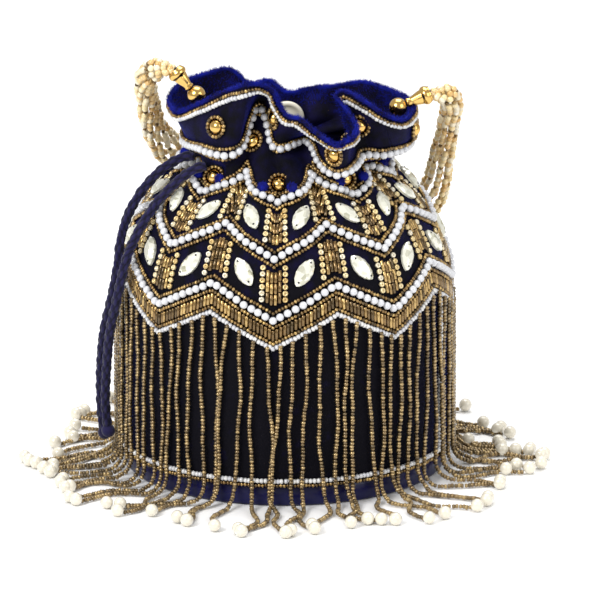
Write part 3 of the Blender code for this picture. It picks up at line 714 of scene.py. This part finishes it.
def make_strands(props, mats):
    """The eight bead strands of the handle: round lustre beads with a small gold seed after every fourth."""
    large, small = ball(STRAND_BEAD_D, 10, 6), barrel(2.3 * MM, 2 * MM)
    for i, line in enumerate(strand_lines()):
        line = even_points(line, 1 * MM)
        run = run_length(line)
        at = np.arange(STRAND_BEAD_D / 2, run[-1], 0.96 * STRAND_BEAD_D)
        axes = along_axes(line)
        pick = np.searchsorted(run, at).clip(0, len(line) - 1)
        place = np.stack([np.interp(at, run, line[:, k]) for k in range(3)], axis=1)
        place = place + SHUFFLE.normal(0, 0.18 * MM, place.shape)
        tiny = np.arange(len(at)) % 5 == 4
        chunks = [copies(large, place[~tiny], axes[pick][~tiny]),
                  copies(small, place[tiny], axes[pick][tiny], mat=1)]
        piece = add_piece(f"handle_strand_{i + 1}_beads", chunks, [mats["handle_bead"], mats["gold_bead"]],
                          "handle", [f"handle_strand_{i + 1}"])


def cap_template(length):
    """Fluted cap along Z with its mouth at 0: a cone that swells to a rounded ring and a flared lip."""
    neck, mouth = CAP_NARROW_R, CAP_MOUTH_R
    outline = np.array(((0, -length), (neck, -length), (neck * 1.12, -length * 0.95),
                        (neck * 0.9, -length * 0.89), (neck * 1.05, -length * 0.8),
                        (mouth * 0.9, -length * 0.42), (mouth * 0.88, -length * 0.37),
                        (mouth * 1.06, -length * 0.32), (mouth * 1.16, -length * 0.24),
                        (mouth * 1.14, -length * 0.15),
                        (mouth * 1.02, -length * 0.07), (mouth * 0.94, -length * 0.04), (mouth * 0.96, 0),
                        (mouth * 0.8, 0), (mouth * 0.75, -4 * MM), (0, -4.5 * MM)))
    verts, quads, tris = lathe(outline, 40)
    angle = np.arctan2(verts[:, 1], verts[:, 0])
    cone = np.interp(verts[:, 2] / length, (-0.86, -0.8, -0.42, -0.37), (0, 1, 1, 0))
    verts[:, :2] *= (1 - 0.07 * cone * np.abs(np.sin(5 * angle)))[:, None]
    return verts, quads, tris


def make_caps(props, mats):
    """Polished balls and fluted caps at both ends of the handle, and black thread between them."""
    balls, caps, threads = [], [], []
    for side in ("left", "right"):
        centre, mouth = np.array(BALLS[side]) * MM, np.array(MOUTHS[side]) * MM
        axis = mouth - centre
        reach = float(np.linalg.norm(axis))
        axes = along_axes(np.array([centre, mouth]))[:1]
        balls.append(copies(ball(2 * BALL_R, 36, 23), centre[None], axes))
        caps.append(copies(cap_template(reach - BALL_R - 0.3 * MM), mouth[None], axes))
        ring = centre + axis / reach * (BALL_R + 0.4 * MM)
        threads.append(copies(barrel(4.4 * MM, 1.3 * MM, 16), ring[None], axes))
    add_piece("handle_end_balls", balls, [mats["gold_metal"]],
              stands_for=["gold_ball_left", "gold_ball_right"])
    add_piece("handle_end_caps", caps, [mats["gold_metal"]],
              stands_for=["cone_cap_left", "cone_cap_right"])
    add_piece("handle_end_wraps", threads, [mats["thread"]])


# ---------------------------------------------------------------- pouch

def cloth_panel(first_turn, cols, rows, roll_rows=8):
    """Closed velvet panel: cloth(turn, climb) outside, half-round roll at the rim, face set back inside."""
    turns = np.linspace(first_turn + SEAM_GAP_TURN / 2, first_turn + 0.5 - SEAM_GAP_TURN / 2, cols)[None, :]
    climbs = np.linspace(WALL_CLIMB[0], RIM_CLIMB, rows)[:, None]
    thick = np.where(climbs < 100 * MM, WALL_T, np.interp(climbs, (100 * MM, 150 * MM), (WALL_T, FRILL_T)))
    outer = cloth(turns, climbs)
    inner = off_cloth(turns, climbs, -np.broadcast_to(thick, outer.shape[:2]))[::-1]
    rim_turn, rim_climb = np.broadcast_arrays(turns, RIM_CLIMB)
    axes = cloth_axes(rim_turn, rim_climb)
    lean = np.linspace(0, math.pi, roll_rows)[:, None, None]
    middle = cloth(rim_turn, rim_climb) - axes[..., 2, :] * FRILL_T / 2
    fuzz = 1 + 0.18 * SHUFFLE.random((roll_rows, cols, 1))
    swell = RIM_ROLL * np.sin(lean) ** 0.5 * fuzz
    side = np.cos(lean) * (FRILL_T / 2 + 0.6 * swell)
    roll = middle + axes[..., 2, :] * side + axes[..., 1, :] * (0.4 * MM + swell * np.sin(lean))
    skin = np.concatenate([outer, roll, inner])
    count = len(skin)
    low = np.arange(count // 2 - 1)
    left = np.stack([low, low + 1, count - 2 - low, count - 1 - low], axis=1) * cols
    right = left[:, ::-1] + cols - 1
    quads = np.concatenate([grid_quads(count, cols, round_rows=True), left, right])
    # Painted light level for the velvet's colour: painted shade on the lower body, painted sheen rising up the
    # frill and on the rolled rim, and painted shade again deeper inside the pouch.
    painted_light_outside = np.interp(climbs[:, 0], (100 * MM, 130 * MM, PEARL_CLIMB, RIM_CLIMB), (-0.15, 0.02, 0.04, 0.12))
    painted_light_and_shade = np.concatenate([painted_light_outside, np.linspace(0.3, 0.5, roll_rows), np.linspace(0.2, -0.1, rows)])
    return lone(skin, quads, tint=np.repeat(painted_light_and_shade, cols))


def make_velvet(props, mats):
    """Front and back velvet panels, from the base to the rolled rim of the frill."""
    made = []
    for side, start, cols, rows in (("front", FRONT_TURN - 0.25, 200, 118),
                                    ("back", FRONT_TURN + 0.25, 160, 96)):
        made.append(add_piece(f"velvet_{side}_cloth", [cloth_panel(start, cols, rows)], [mats["velvet"]],
                              stands_for=[f"velvet_{side}"]))
    return made


def spike_axes(way):
    """Axes with Z along each direction."""
    side = unit(np.cross(way, SHUFFLE.normal(0, 1, way.shape)))
    return np.stack([side, np.cross(way, side), way], axis=1)


def make_pile(props, mats):
    """Loose pile: thin spikes on the rim and inside the frill, and fuzzy tucks by the valley flowers."""
    spike = lathe(((0, -0.2 * MM), (0.15 * MM, 0), (0, PILE_L)), 3)
    turn = SHUFFLE.random(PILE_SPIKES)
    over = SHUFFLE.random(PILE_SPIKES) < 0.55
    lean = SHUFFLE.uniform(0, math.pi, PILE_SPIKES)
    deep = RIM_CLIMB - SHUFFLE.random(PILE_SPIKES) ** 1.5 * 16 * MM
    axes = cloth_axes(turn, np.where(over, RIM_CLIMB, deep))
    up, out = axes[:, 1], axes[:, 2]
    swell = np.sin(lean)[:, None] * RIM_ROLL
    rim = (cloth(turn, RIM_CLIMB) - out * FRILL_T / 2 + out * (
        np.cos(lean)[:, None] * (FRILL_T / 2 + 0.6 * swell))
           + up * (0.3 * MM + swell))
    inside = off_cloth(turn, deep, -FRILL_T)
    fan = SHUFFLE.normal(0, 0.35, (PILE_SPIKES, 3))
    way = np.where(over[:, None], out * np.cos(lean)[:, None] + up * (0.3 + np.sin(lean)[:, None]),
                   up * 0.7 - out) + fan
    # The spikes take a random painted light level, within the range of the rim's painted sheen.
    chunks = [copies(spike, np.where(over[:, None], rim, inside), spike_axes(unit(way)),
                     tint=SHUFFLE.uniform(0.2, 0.7, PILE_SPIKES),
                     sizes=SHUFFLE.uniform(0.5, 1.2, PILE_SPIKES))]
    valley = FRONT_TURN + np.repeat(np.arange(REPEATS), 2) / REPEATS
    turn = valley + np.tile((-1, 1), REPEATS) * 8.2 * MM / (2 * math.pi * 52 * MM)
    climb = np.full(2 * REPEATS, VALLEY_FLOWER_CLIMB + 1 * MM)
    centre, axes = off_cloth(turn, climb, 1.6 * MM), cloth_axes(turn, climb)
    # The tucks and their spikes carry a fixed painted light level, lighter than the cloth round them.
    chunks.append(copies(ball(TUCK_D, 12, 7), centre, axes, tint=0.45))
    way = unit(SHUFFLE.normal(0, 1, (16, 110, 3)) + 0.8 * axes[:, None, 2])
    place = (centre[:, None] + way * 0.48 * TUCK_D).reshape(-1, 3)
    chunks.append(copies(spike, place, spike_axes(way.reshape(-1, 3)), tint=0.5,
                         sizes=np.full(len(place), 0.6)))
    return add_piece("velvet_pile", chunks, [mats["velvet"]])


def make_base(props, mats):
    """The satin-covered dish under the pouch, with soft puckers where the satin is pulled over its edge."""
    edge = 1.5 * MM
    outline = ((0, 0), (BASE_R - 3 * edge, 0), (BASE_R - edge, 0.15 * edge), (BASE_R - 0.3 * edge, 0.5 * edge),
               (BASE_R, edge * 1.3), (BASE_R + 0.1 * edge, BASE_H * 0.55), (BASE_R, BASE_H - 0.4 * edge),
               (BASE_R - 0.4 * edge, BASE_H), (BASE_R - BASE_WALL, BASE_H),
               (BASE_R - BASE_WALL, BASE_FLOOR), (0, BASE_FLOOR))
    verts, quads, tris = lathe(outline, 180)
    angle = np.arctan2(verts[:, 1], verts[:, 0])
    rise = smooth_step(verts[:, 2] / BASE_H)
    pucker = 1 + 0.0022 * rise * (np.sin(26 * angle) + 0.6 * np.sin(41 * angle + 1))
    verts[:, :2] *= pucker[:, None]
    add_piece("satin_dish", [lone(verts, quads, tris)], [mats["satin"]], stands_for=["satin_base"])
    for node in ("base_board", "handle_tie_left", "handle_tie_right", "gather_knot_left", "gather_knot_right"):
        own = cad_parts[node]
        own.data.materials.clear()
        own.data.materials.append(mats["board" if node == "base_board" else "thread"])


# ---------------------------------------------------------------- embroidery

def make_pearls(props, mats):
    """The pearl rows of the zigzag and of the frill."""
    bead = ball(props.pearl_size, 10, 6)
    away = 0.46 * props.pearl_size
    lines = [zigzag_line(row, away, PEARL_PITCH) for row in (ROW_A, ROW_B, ROW_C)]
    lines.append(level_line(PEARL_CLIMB, away, PEARL_PITCH))
    add_piece("row_pearls", [copies(bead, line[0], line[1]) for line in lines], [mats["pearl"]],
              stands_for=["pearl_row_a", "pearl_row_b", "pearl_row_c", "frill_pearl_trim"])


def make_seeds(props, mats):
    """Bronze seed beads beside every pearl row, under the bugles, at the frill's rim and along the base."""
    bead = barrel(props.seed_size, 0.96 * SEED_PITCH, 6, 0.52)
    away = 0.45 * props.seed_size
    lines = []
    for row in (ROW_A, ROW_B, ROW_C):
        for side in (-3.7 * MM, 3.7 * MM):
            lines.append(zigzag_line(row + side, away, SEED_PITCH))
    lines.append(zigzag_line(ROW_C - 12.3 * MM, away, SEED_PITCH))
    for climb in (RIM_CLIMB - 1.6 * MM, PEARL_CLIMB - 3.3 * MM, PEARL_CLIMB + 3.3 * MM):
        lines.append(level_line(climb, away, SEED_PITCH))
    for shift in (0, 0.5):
        lines.extend(sewn_line(turns, climbs, away, SEED_PITCH)
                     for turns, climbs in border_lines(shift, 0.2 * MM))
    add_piece("gold_seeds", [copies(bead, line[0], line[1]) for line in lines], [mats["gold_bead"]])


def make_whites(props, mats):
    """Chalk white seed beads: under the bugle band, on the frill and round both plain panels."""
    bead = barrel(props.white_size, WHITE_L, end=0.72)
    away = 0.45 * props.white_size
    lines = [zigzag_line(ROW_C - 15 * MM, away, WHITE_PITCH),
             level_line(RIM_CLIMB - 3.8 * MM, away, WHITE_PITCH)]
    for shift in (0, 0.5):
        lines.extend(sewn_line(turns, climbs, away, WHITE_PITCH)
                     for turns, climbs in border_lines(shift, 2.6 * MM))
    add_piece("white_seeds", [copies(bead, line[0], line[1]) for line in lines], [mats["white_bead"]],
              stands_for=["white_row", "front_border", "back_border", "frill_edge_trim"])


def column_places(valley, across, ups):
    """Places in the columns above a row, one on every peak and valley: a step across it and steps up it."""
    column = FRONT_TURN + np.arange(2 * REPEATS)[:, None] / (2 * REPEATS)
    radius = np.interp(valley + 15 * MM, WALL_CLIMB, WALL_LINE[:, 0])
    turn = column + across / (2 * math.pi * radius) + np.zeros(len(ups))
    climb = valley + zigzag(turn) + np.asarray(ups)[None, :]
    return turn.ravel(), climb.ravel()


def make_columns(props, mats):
    """Bugle columns with a line of cupped beads at each side, in both bands between the rows."""
    bugle, cup = rod(BUGLE_D, COLUMN_BUGLE_L), cup_template()
    bugles, cups = [], []
    for valley, upper, pinch in ((ROW_C, ROW_B, 1.0), (ROW_B, ROW_A, 0.86)):
        middle = (upper - valley) / 2
        for across in (np.arange(4) - 1.5) * COLUMN_PITCH:
            turn, climb = column_places(valley, across * pinch,
                                        middle + np.arange(-1, 2) * 1.03 * COLUMN_BUGLE_L)
            axes = cloth_axes(turn, climb)[:, [2, 0, 1]]
            bugles.append(copies(bugle, off_cloth(turn, climb, 0.85 * MM), axes))
        for across in (-2.85 * COLUMN_PITCH, 2.85 * COLUMN_PITCH):
            turn, climb = column_places(valley, across * pinch, middle + (np.arange(6) - 2.5) * CUP_PITCH)
            cups.append(copies(cup, off_cloth(turn, climb, 0.7 * MM), cloth_axes(turn, climb)))
    turns = FRONT_TURN + np.linspace(0, 1, 2400)
    place, _, turn, climb = sewn_line(turns, ROW_C - 8.1 * MM + zigzag(turns), 0.85 * MM, BUGLE_PITCH,
                                      closed=True)
    bugles.append(copies(rod(BUGLE_D, props.bugle_length), place, cloth_axes(turn, climb)[:, [2, 0, 1]]))
    add_piece("bugle_beads", bugles, [mats["bugle"]], stands_for=["bugle_band"])
    add_piece("cupped_beads", cups, [mats["cup"]])


def cup_template():
    """Round bead with a rim and a sunk middle, its hole facing out."""
    radius = CUP_D / 2
    return lathe(((0, -0.5 * radius), (0.8 * radius, -0.5 * radius), (radius, 0.1 * radius),
                  (0.8 * radius, 0.6 * radius),
                  (0.45 * radius, 0.6 * radius), (0.3 * radius, 0.1 * radius), (0, 0)), 8)


def stone_template():
    """Leaf-shaped stone: rings x = L/2 cos t, y = W/2 sin t |sin t|^0.4, joined by triangles into facets."""
    length, width, height = STONE_SIZE[0], STONE_FULL_W, STONE_SIZE[2]
    sides = 14
    rings = ((1.0, -0.3 * MM, 0), (1.0, 0.3 * height, 0), (0.78, 0.66 * height, 0.5), (0.5, height, 0))
    points = []
    for scale, level, offset in rings:
        t = 2 * math.pi * (np.arange(sides) + offset) / sides
        points.append(np.stack([length / 2 * scale * np.cos(t),
                                width / 2 * scale * np.sin(t) * np.abs(np.sin(t)) ** 0.4,
                                np.full(sides, level)], axis=1))
    verts = np.vstack(points + [np.array([[0, 0, -0.3 * MM], [0, 0, height]])])
    here = np.arange(sides)
    after, before = (here + 1) % sides, (here - 1) % sides
    wide, crown, table = sides, 2 * sides, 3 * sides
    tris = np.concatenate([
        np.stack([wide + here, wide + after, crown + here], axis=1),
        np.stack([crown + here, wide + after, crown + after], axis=1),
        np.stack([crown + before, crown + here, table + here], axis=1),
        np.stack([crown + here, table + after, table + here], axis=1),
        np.stack([np.full(sides, 4 * sides + 1), table + here, table + after], axis=1),
        np.stack([np.full(sides, 4 * sides), after, here], axis=1)])
    return verts, grid_quads(2, sides, round_cols=True), tris


def make_stones(props, mats):
    """Leaf stones in both bands, leaning one way and then the other, sewn on through a hole at each tip."""
    stone, hole = stone_template(), lathe(
        ((0, -0.3 * MM), (0.6 * MM, 0), (0.4 * MM, 0.15 * MM), (0, 0.2 * MM)), 8)
    number = np.arange(2 * REPEATS)
    turn = FRONT_TURN + (number + 0.5) / (2 * REPEATS)
    lean = np.where(number % 2 == 0, STONE_LEAN, math.pi - STONE_LEAN)[:, None]
    chunks = []
    for climb, size in (((ROW_B + ROW_C + ZIGZAG_RISE) / 2, 1.0), ((ROW_A + ROW_B + ZIGZAG_RISE) / 2, 0.94)):
        axes = cloth_axes(turn, np.full(len(turn), climb))
        along = axes[:, 0] * np.cos(lean) + axes[:, 1] * np.sin(lean)
        axes = np.stack([along, np.cross(axes[:, 2], along), axes[:, 2]], axis=1)
        place = off_cloth(turn, climb, 0.6 * MM)
        chunks.append(copies(stone, place, axes, flat=True, sizes=np.full(len(place), size)))
        for end in (-0.37, 0.37):
            tip = place + along * STONE_SIZE[0] * size * end + axes[:, 2] * 0.72 * STONE_SIZE[2] * size
            chunks.append(copies(hole, tip, axes, mat=1))
    add_piece("leaf_stones", chunks, [mats["stone"], mats["thread"]],
              stands_for=[f"stone_{i + 1:02d}" for i in range(16)])


def make_flowers(props, mats):
    """Gold domes, each in a ring of seed beads, on the frill, in the pleats and above the top row's valleys."""
    places = [(turn, NECK_CLIMB + up * MM) for turn, up in FRILL_FLOWERS + PLEAT_FLOWERS]
    places += [(FRONT_TURN + i / REPEATS, VALLEY_FLOWER_CLIMB) for i in range(REPEATS)]
    turn, climb = np.array(places).T
    axes = cloth_axes(turn, climb)
    dome = lathe(((0, -0.3 * MM), (0.5 * DOME_D, 0), (0.5 * DOME_D, 0.5 * MM), (0.44 * DOME_D, 1.5 * MM),
                  (0.3 * DOME_D, 2.5 * MM), (0.14 * DOME_D, 3 * MM), (0, 3.1 * MM)), 20)
    lift = np.where(climb < NECK_CLIMB, 2.2 * MM, 0.4 * MM)
    centre = off_cloth(turn, climb, lift)
    angle = 2 * math.pi * np.arange(DOME_SEEDS) / DOME_SEEDS
    spoke = np.cos(angle)[None, :, None] * axes[:, None, 0] + np.sin(angle)[None, :, None] * axes[:, None, 1]
    round_way = np.cross(axes[:, None, 2], spoke)
    seeds = (centre[:, None] + spoke * DOME_RING_D / 2 + axes[:, None, 2] * 0.6 * MM).reshape(-1, 3)
    seed_axes = np.stack([spoke, np.broadcast_to(axes[:, None, 2], spoke.shape) * -1, round_way],
                         axis=2).reshape(-1, 3, 3)
    add_piece("flower_domes", [copies(dome, centre, axes)], [mats["gold_metal"]])
    add_piece("flower_rings", [copies(barrel(SEED_D, 1.9 * MM), seeds, seed_axes)], [mats["gold_bead"]])


def make_studs(props, mats):
    """Moulded press-stud halves with a raised rim and a round hole in the middle."""
    outline = ((0, 0), (STUD_R, 0), (STUD_R, 0.5 * STUD_T), (0.93 * STUD_R, STUD_T), (0.8 * STUD_R, STUD_T),
               (0.74 * STUD_R, 0.65 * STUD_T), (0.36 * STUD_R, 0.65 * STUD_T), (0.3 * STUD_R, 1.1 * STUD_T),
               (0.18 * STUD_R, 1.1 * STUD_T), (0.13 * STUD_R, 0.3 * STUD_T), (0, 0.3 * STUD_T))
    chunks = []
    for name, (x, y, z, tilt) in STUD_PLACES.items():
        lean = math.radians(tilt) * (1 if y < 0 else 1)
        face = np.array([0, math.cos(lean), math.sin(lean)]) * (-1 if y > 0 else 1)
        side = np.array([1.0, 0, 0])
        axes = np.stack([side, np.cross(face, side), face])[None]
        chunks.append(copies(lathe(outline, 48), np.array([[x, y, z]]) * MM, axes))
    add_piece("press_studs", chunks, [mats["stud"]], stands_for=["press_stud_back", "press_stud_front"])


# ---------------------------------------------------------------- fringe

# how far the lying part of a strand leans towards growing turn: turn, degrees
FLOOR_LEAN = ((-0.5, 0), (-0.36, 20), (-0.3, 50), (-0.25, 36), (-0.2, 12), (-0.16, -18), (-0.1, -8), (0, 6),
              (0.08, -6), (0.16, 24), (0.2, 34), (0.25, -16), (0.3, -62), (0.37, -60), (0.43, -25), (0.5, 0))


def strand_path(turn, top, number):
    """A hanging strand that turns out onto the floor: drop, quarter round of radius R, then a waving line.

    The strand's heading is the sum of two slow waves; sideways and downward travel are its sine and cosine."""
    run = np.linspace(0, FRINGE_LENGTH, 160)
    hang = smooth_step((run - top + 6 * MM) / (14 * MM))
    phase = SHUFFLE.random(4) * 2 * math.pi
    waver = 0.06 * np.sin(run / (6 * MM) + phase[0]) + 0.06 * np.sin(run / (16 * MM) + phase[1])
    waver = waver + SHUFFLE.normal(0, 0.028)
    bends = 0.5 * np.sin(run / (8.5 * MM) + phase[2]) + 0.28 * np.sin(run / (4.7 * MM) + phase[3])
    lean = math.radians(float(np.interp(turn, *np.array(FLOOR_LEAN).T)) + SHUFFLE.normal(0, 13))
    heading = waver + hang * (lean + bends * 0.8)
    step = np.gradient(run)
    down, side = np.cumsum(np.cos(heading) * step), np.cumsum(np.sin(heading) * step)
    down, side = down - down[0], side - side[0]
    drop = top - FRINGE_CURL
    bend = np.clip((down - drop) / FRINGE_CURL, 0, math.pi / 2)
    radius = FRINGE_R + FRINGE_BEAD_D / 2 + FRINGE_CURL * (1 - np.cos(bend))
    radius = radius + np.maximum(down - drop - FRINGE_CURL * math.pi / 2, 0)
    height = np.where(down < drop, top - down, FRINGE_CURL * (1 - np.sin(bend)))
    lying = 0.55 * FRINGE_BEAD_D + 0.25 * MM
    pile = lying + (number % 3) * 0.6 * MM
    height = np.maximum(height, 0) + np.minimum(pile, lying + height * 10)
    radius = radius - np.interp(run, (0, 0.5 * top), (FRINGE_R - BODY_R - 1.2 * MM, 0))
    angle = 2 * math.pi * turn
    out, tangent = (np.array([math.sin(angle), -math.cos(angle), 0]),
                    np.array([math.cos(angle), math.sin(angle), 0]))
    return radius[:, None] * out + side[:, None] * tangent + height[:, None] * np.array([0, 0, 1])


def make_fringe(props, mats):
    """Eighty bead strings in eight curtains, each string ending in an ivory pearl on the floor."""
    bead, curtains, ends = barrel(FRINGE_BEAD_D, 0.96 * props.fringe_pitch, 6, 0.68), [], []
    for i in range(REPEATS):
        places, axes = [], []
        for j in range(FRINGE_STRANDS):
            turn = FRONT_TURN + (i - 0.5 + (j + 0.5) / FRINGE_STRANDS) / REPEATS + SHUFFLE.normal(0, 0.0009)
            top = float(ROW_C + zigzag(turn) + WHITE_ROW[0] - 0.5 * MM)
            line = even_points(strand_path((turn + 0.5) % 1 - 0.5, top, i * FRINGE_STRANDS + j), 0.4 * MM)
            run = run_length(line)
            at = np.arange(0.5 * props.fringe_pitch, run[-1] - 4 * MM, props.fringe_pitch)
            pick = np.searchsorted(run, at).clip(0, len(line) - 1)
            places.append(line[pick] + SHUFFLE.normal(0, 0.08 * MM, (len(at), 3)))
            axes.append(along_axes(line)[pick])
            ends.append(line[-1] * (1, 1, 0) + np.array([0, 0, FRINGE_PEARL / 2]))
        sizes = SHUFFLE.uniform(0.92, 1.08, sum(len(place) for place in places))
        chunk = copies(bead, np.concatenate(places), np.concatenate(axes), sizes=sizes)
        curtains.append(add_piece(f"fringe_{i + 1}_strings", [chunk], [mats["fringe_bead"]],
                                  stands_for=[f"fringe_{i + 1}"]))
    ends = np.array(ends)
    pearls = copies(ball(FRINGE_PEARL, 12, 7), ends, np.broadcast_to(np.eye(3), (len(ends), 3, 3)),
                    sizes=SHUFFLE.uniform(0.94, 1.0, len(ends)))
    curtains.append(add_piece("fringe_end_pearls", [pearls], [mats["ivory"]]))
    return curtains


# ---------------------------------------------------------------- camera, floor and light

VIEW_ELEVATION = math.radians(17)
VIEW_DISTANCE = 8.0
VIEW_WIDTH = 0.312
VIEW_CENTRE = (7.8 * MM, 82.2 * MM)         # right of the bag's axis, and up the view from its origin


def make_camera():
    """Camera at the height and distance of a product view, looking a little down at the front."""
    data = bpy.data.cameras.new("camera")
    data.lens = data.sensor_width * VIEW_DISTANCE / VIEW_WIDTH
    data.clip_start, data.clip_end = 0.05, 60
    camera = bpy.data.objects.new("camera", data)
    bpy.context.collection.objects.link(camera)
    back = Vector((0, -math.cos(VIEW_ELEVATION), math.sin(VIEW_ELEVATION)))
    up = Vector((0, math.sin(VIEW_ELEVATION), math.cos(VIEW_ELEVATION)))
    camera.location = Vector((VIEW_CENTRE[0], 0, 0)) + up * VIEW_CENTRE[1] + back * VIEW_DISTANCE
    camera.rotation_euler = back.to_track_quat("Z", "Y").to_euler()
    bpy.context.scene.camera = camera


def make_light(name, place, size, power, target=(0, 0, 0.1)):
    """A square soft box aimed at the bag."""
    data = bpy.data.lights.new(name, "AREA")
    data.shape, data.size, data.energy = "SQUARE", size, power
    light = bpy.data.objects.new(name, data)
    bpy.context.collection.objects.link(light)
    light.location = place
    light.rotation_euler = (Vector(place) - Vector(target)).to_track_quat("Z", "Y").to_euler()
    return light


def make_stage(props):
    """Pale floor, white surroundings and soft boxes at both sides and above."""
    floor_material, _, _ = new_material("Studio floor, matt white", "floor", 0.9, Specular_IOR_Level=0.1)
    mesh = bpy.data.meshes.new("studio_floor")
    half = 6.0
    mesh.from_pydata([(-half, -half, 0), (half, -half, 0), (half, half, 0), (-half, half, 0)], [],
                     [(0, 1, 2, 3)])
    mesh.materials.append(floor_material)
    floor = bpy.data.objects.new("studio_floor", mesh)
    bpy.context.collection.objects.link(floor)
    lights = [make_light("key_box", (-0.9, -1.1, 1.2), 0.8, 24 * props.light),
              make_light("fill_box", (1.2, -0.9, 0.8), 1.0, 8 * props.light),
              make_light("top_box", (0.1, 0.5, 1.5), 1.0, 16 * props.light)]
    world = bpy.data.worlds.new("white_room")
    world.use_nodes = True
    world.node_tree.nodes["Background"].inputs["Color"].default_value = (1, 1, 1, 1)
    world.node_tree.nodes["Background"].inputs["Strength"].default_value = 0.6
    bpy.context.scene.world = world
    bpy.context.scene.view_settings.view_transform = "Standard"
    bpy.context.scene.view_settings.look = "None"


# ---------------------------------------------------------------- settings, operators and panel

def length_property(name, description, default):
    """A length in metres, shown in the scene's units."""
    return bpy.props.FloatProperty(name=name, description=description, default=default, min=0.0002, precision=5,
                                   subtype="DISTANCE", unit="LENGTH")


class PotliSettings(bpy.types.PropertyGroup):
    """Sizes that the operators read."""
    pearl_size: length_property("Pearl size", "Diameter of the pearls in the rows", PEARL_D)
    seed_size: length_property("Seed size", "Diameter of the bronze seed beads", SEED_D)
    white_size: length_property("White seed size", "Diameter of the white seed beads", WHITE_D)
    bugle_length: length_property("Bugle length", "Length of the bugle beads in the lower band", BUGLE_L)
    fringe_pitch: length_property("Fringe pitch", "Distance from bead to bead down a fringe string", 1.75 * MM)
    light: bpy.props.FloatProperty(name="Light", description="Strength of the soft boxes", default=1.0, min=0.0,
                                   subtype="FACTOR")


def once(maker):
    """Calls a maker with the settings and the shared materials."""
    if not MATERIALS:
        MATERIALS.update(make_materials())
    return maker(bpy.context.scene.potli, MATERIALS)


MATERIALS = {}


class POTLI_OT_stage(bpy.types.Operator):
    """Make the camera, the floor and the lights"""
    bl_idname = "potli.stage"
    bl_label = "Camera and stage"

    def execute(self, context):
        make_camera()
        make_stage(context.scene.potli)
        return {"FINISHED"}


class POTLI_OT_cords(bpy.types.Operator):
    """Make the drawstring and the bead strands of the handle"""
    bl_idname = "potli.cords"
    bl_label = "Drawstring and strands"

    def execute(self, context):
        once(make_drawstring)
        once(make_strands)
        return {"FINISHED"}


class POTLI_OT_caps(bpy.types.Operator):
    """Make the gold balls and caps of the handle"""
    bl_idname = "potli.caps"
    bl_label = "Balls and caps"

    def execute(self, context):
        once(make_caps)
        return {"FINISHED"}


class POTLI_OT_pouch(bpy.types.Operator):
    """Make the velvet panels with their fringe, and the satin base"""
    bl_idname = "potli.pouch"
    bl_label = "Velvet, fringe and base"

    def execute(self, context):
        once(make_base)
        once(make_velvet)
        once(make_fringe) + [once(make_pile)]
        return {"FINISHED"}


class POTLI_OT_rows(bpy.types.Operator):
    """Make the pearl, seed and bugle rows"""
    bl_idname = "potli.rows"
    bl_label = "Bead rows"

    def execute(self, context):
        for maker in (make_pearls, make_seeds, make_whites, make_columns):
            once(maker)
        return {"FINISHED"}


class POTLI_OT_stones(bpy.types.Operator):
    """Make the leaf stones, the flowers and the press studs"""
    bl_idname = "potli.stones"
    bl_label = "Stones, flowers and studs"

    def execute(self, context):
        for maker in (make_stones, make_flowers, make_studs):
            once(maker)
        return {"FINISHED"}


OPERATORS = (POTLI_OT_stage, POTLI_OT_cords, POTLI_OT_caps, POTLI_OT_pouch, POTLI_OT_rows, POTLI_OT_stones)


class POTLI_PT_panel(bpy.types.Panel):
    """Buttons for every group of pieces"""
    bl_label = "Potli Bag"
    bl_idname = "POTLI_PT_panel"
    bl_space_type = "VIEW_3D"
    bl_region_type = "UI"
    bl_category = "Potli"

    def draw(self, context):
        layout = self.layout
        for name in PotliSettings.__annotations__:
            layout.prop(context.scene.potli, name)
        for operator in OPERATORS:
            layout.operator(operator.bl_idname)


def register():
    """Add the settings, operators and panel."""
    for made in (PotliSettings, *OPERATORS, POTLI_PT_panel):
        bpy.utils.register_class(made)
    bpy.types.Scene.potli = bpy.props.PointerProperty(type=PotliSettings)


def unregister():
    """Remove the settings, operators and panel."""
    del bpy.types.Scene.potli
    for made in reversed((PotliSettings, *OPERATORS, POTLI_PT_panel)):
        bpy.utils.unregister_class(made)


def main():
    """Make every piece."""
    register()
    for step in OPERATORS:
        group, action = step.bl_idname.split(".")
        getattr(getattr(bpy.ops, group), action)()


if __name__ == "__main__":
    main()
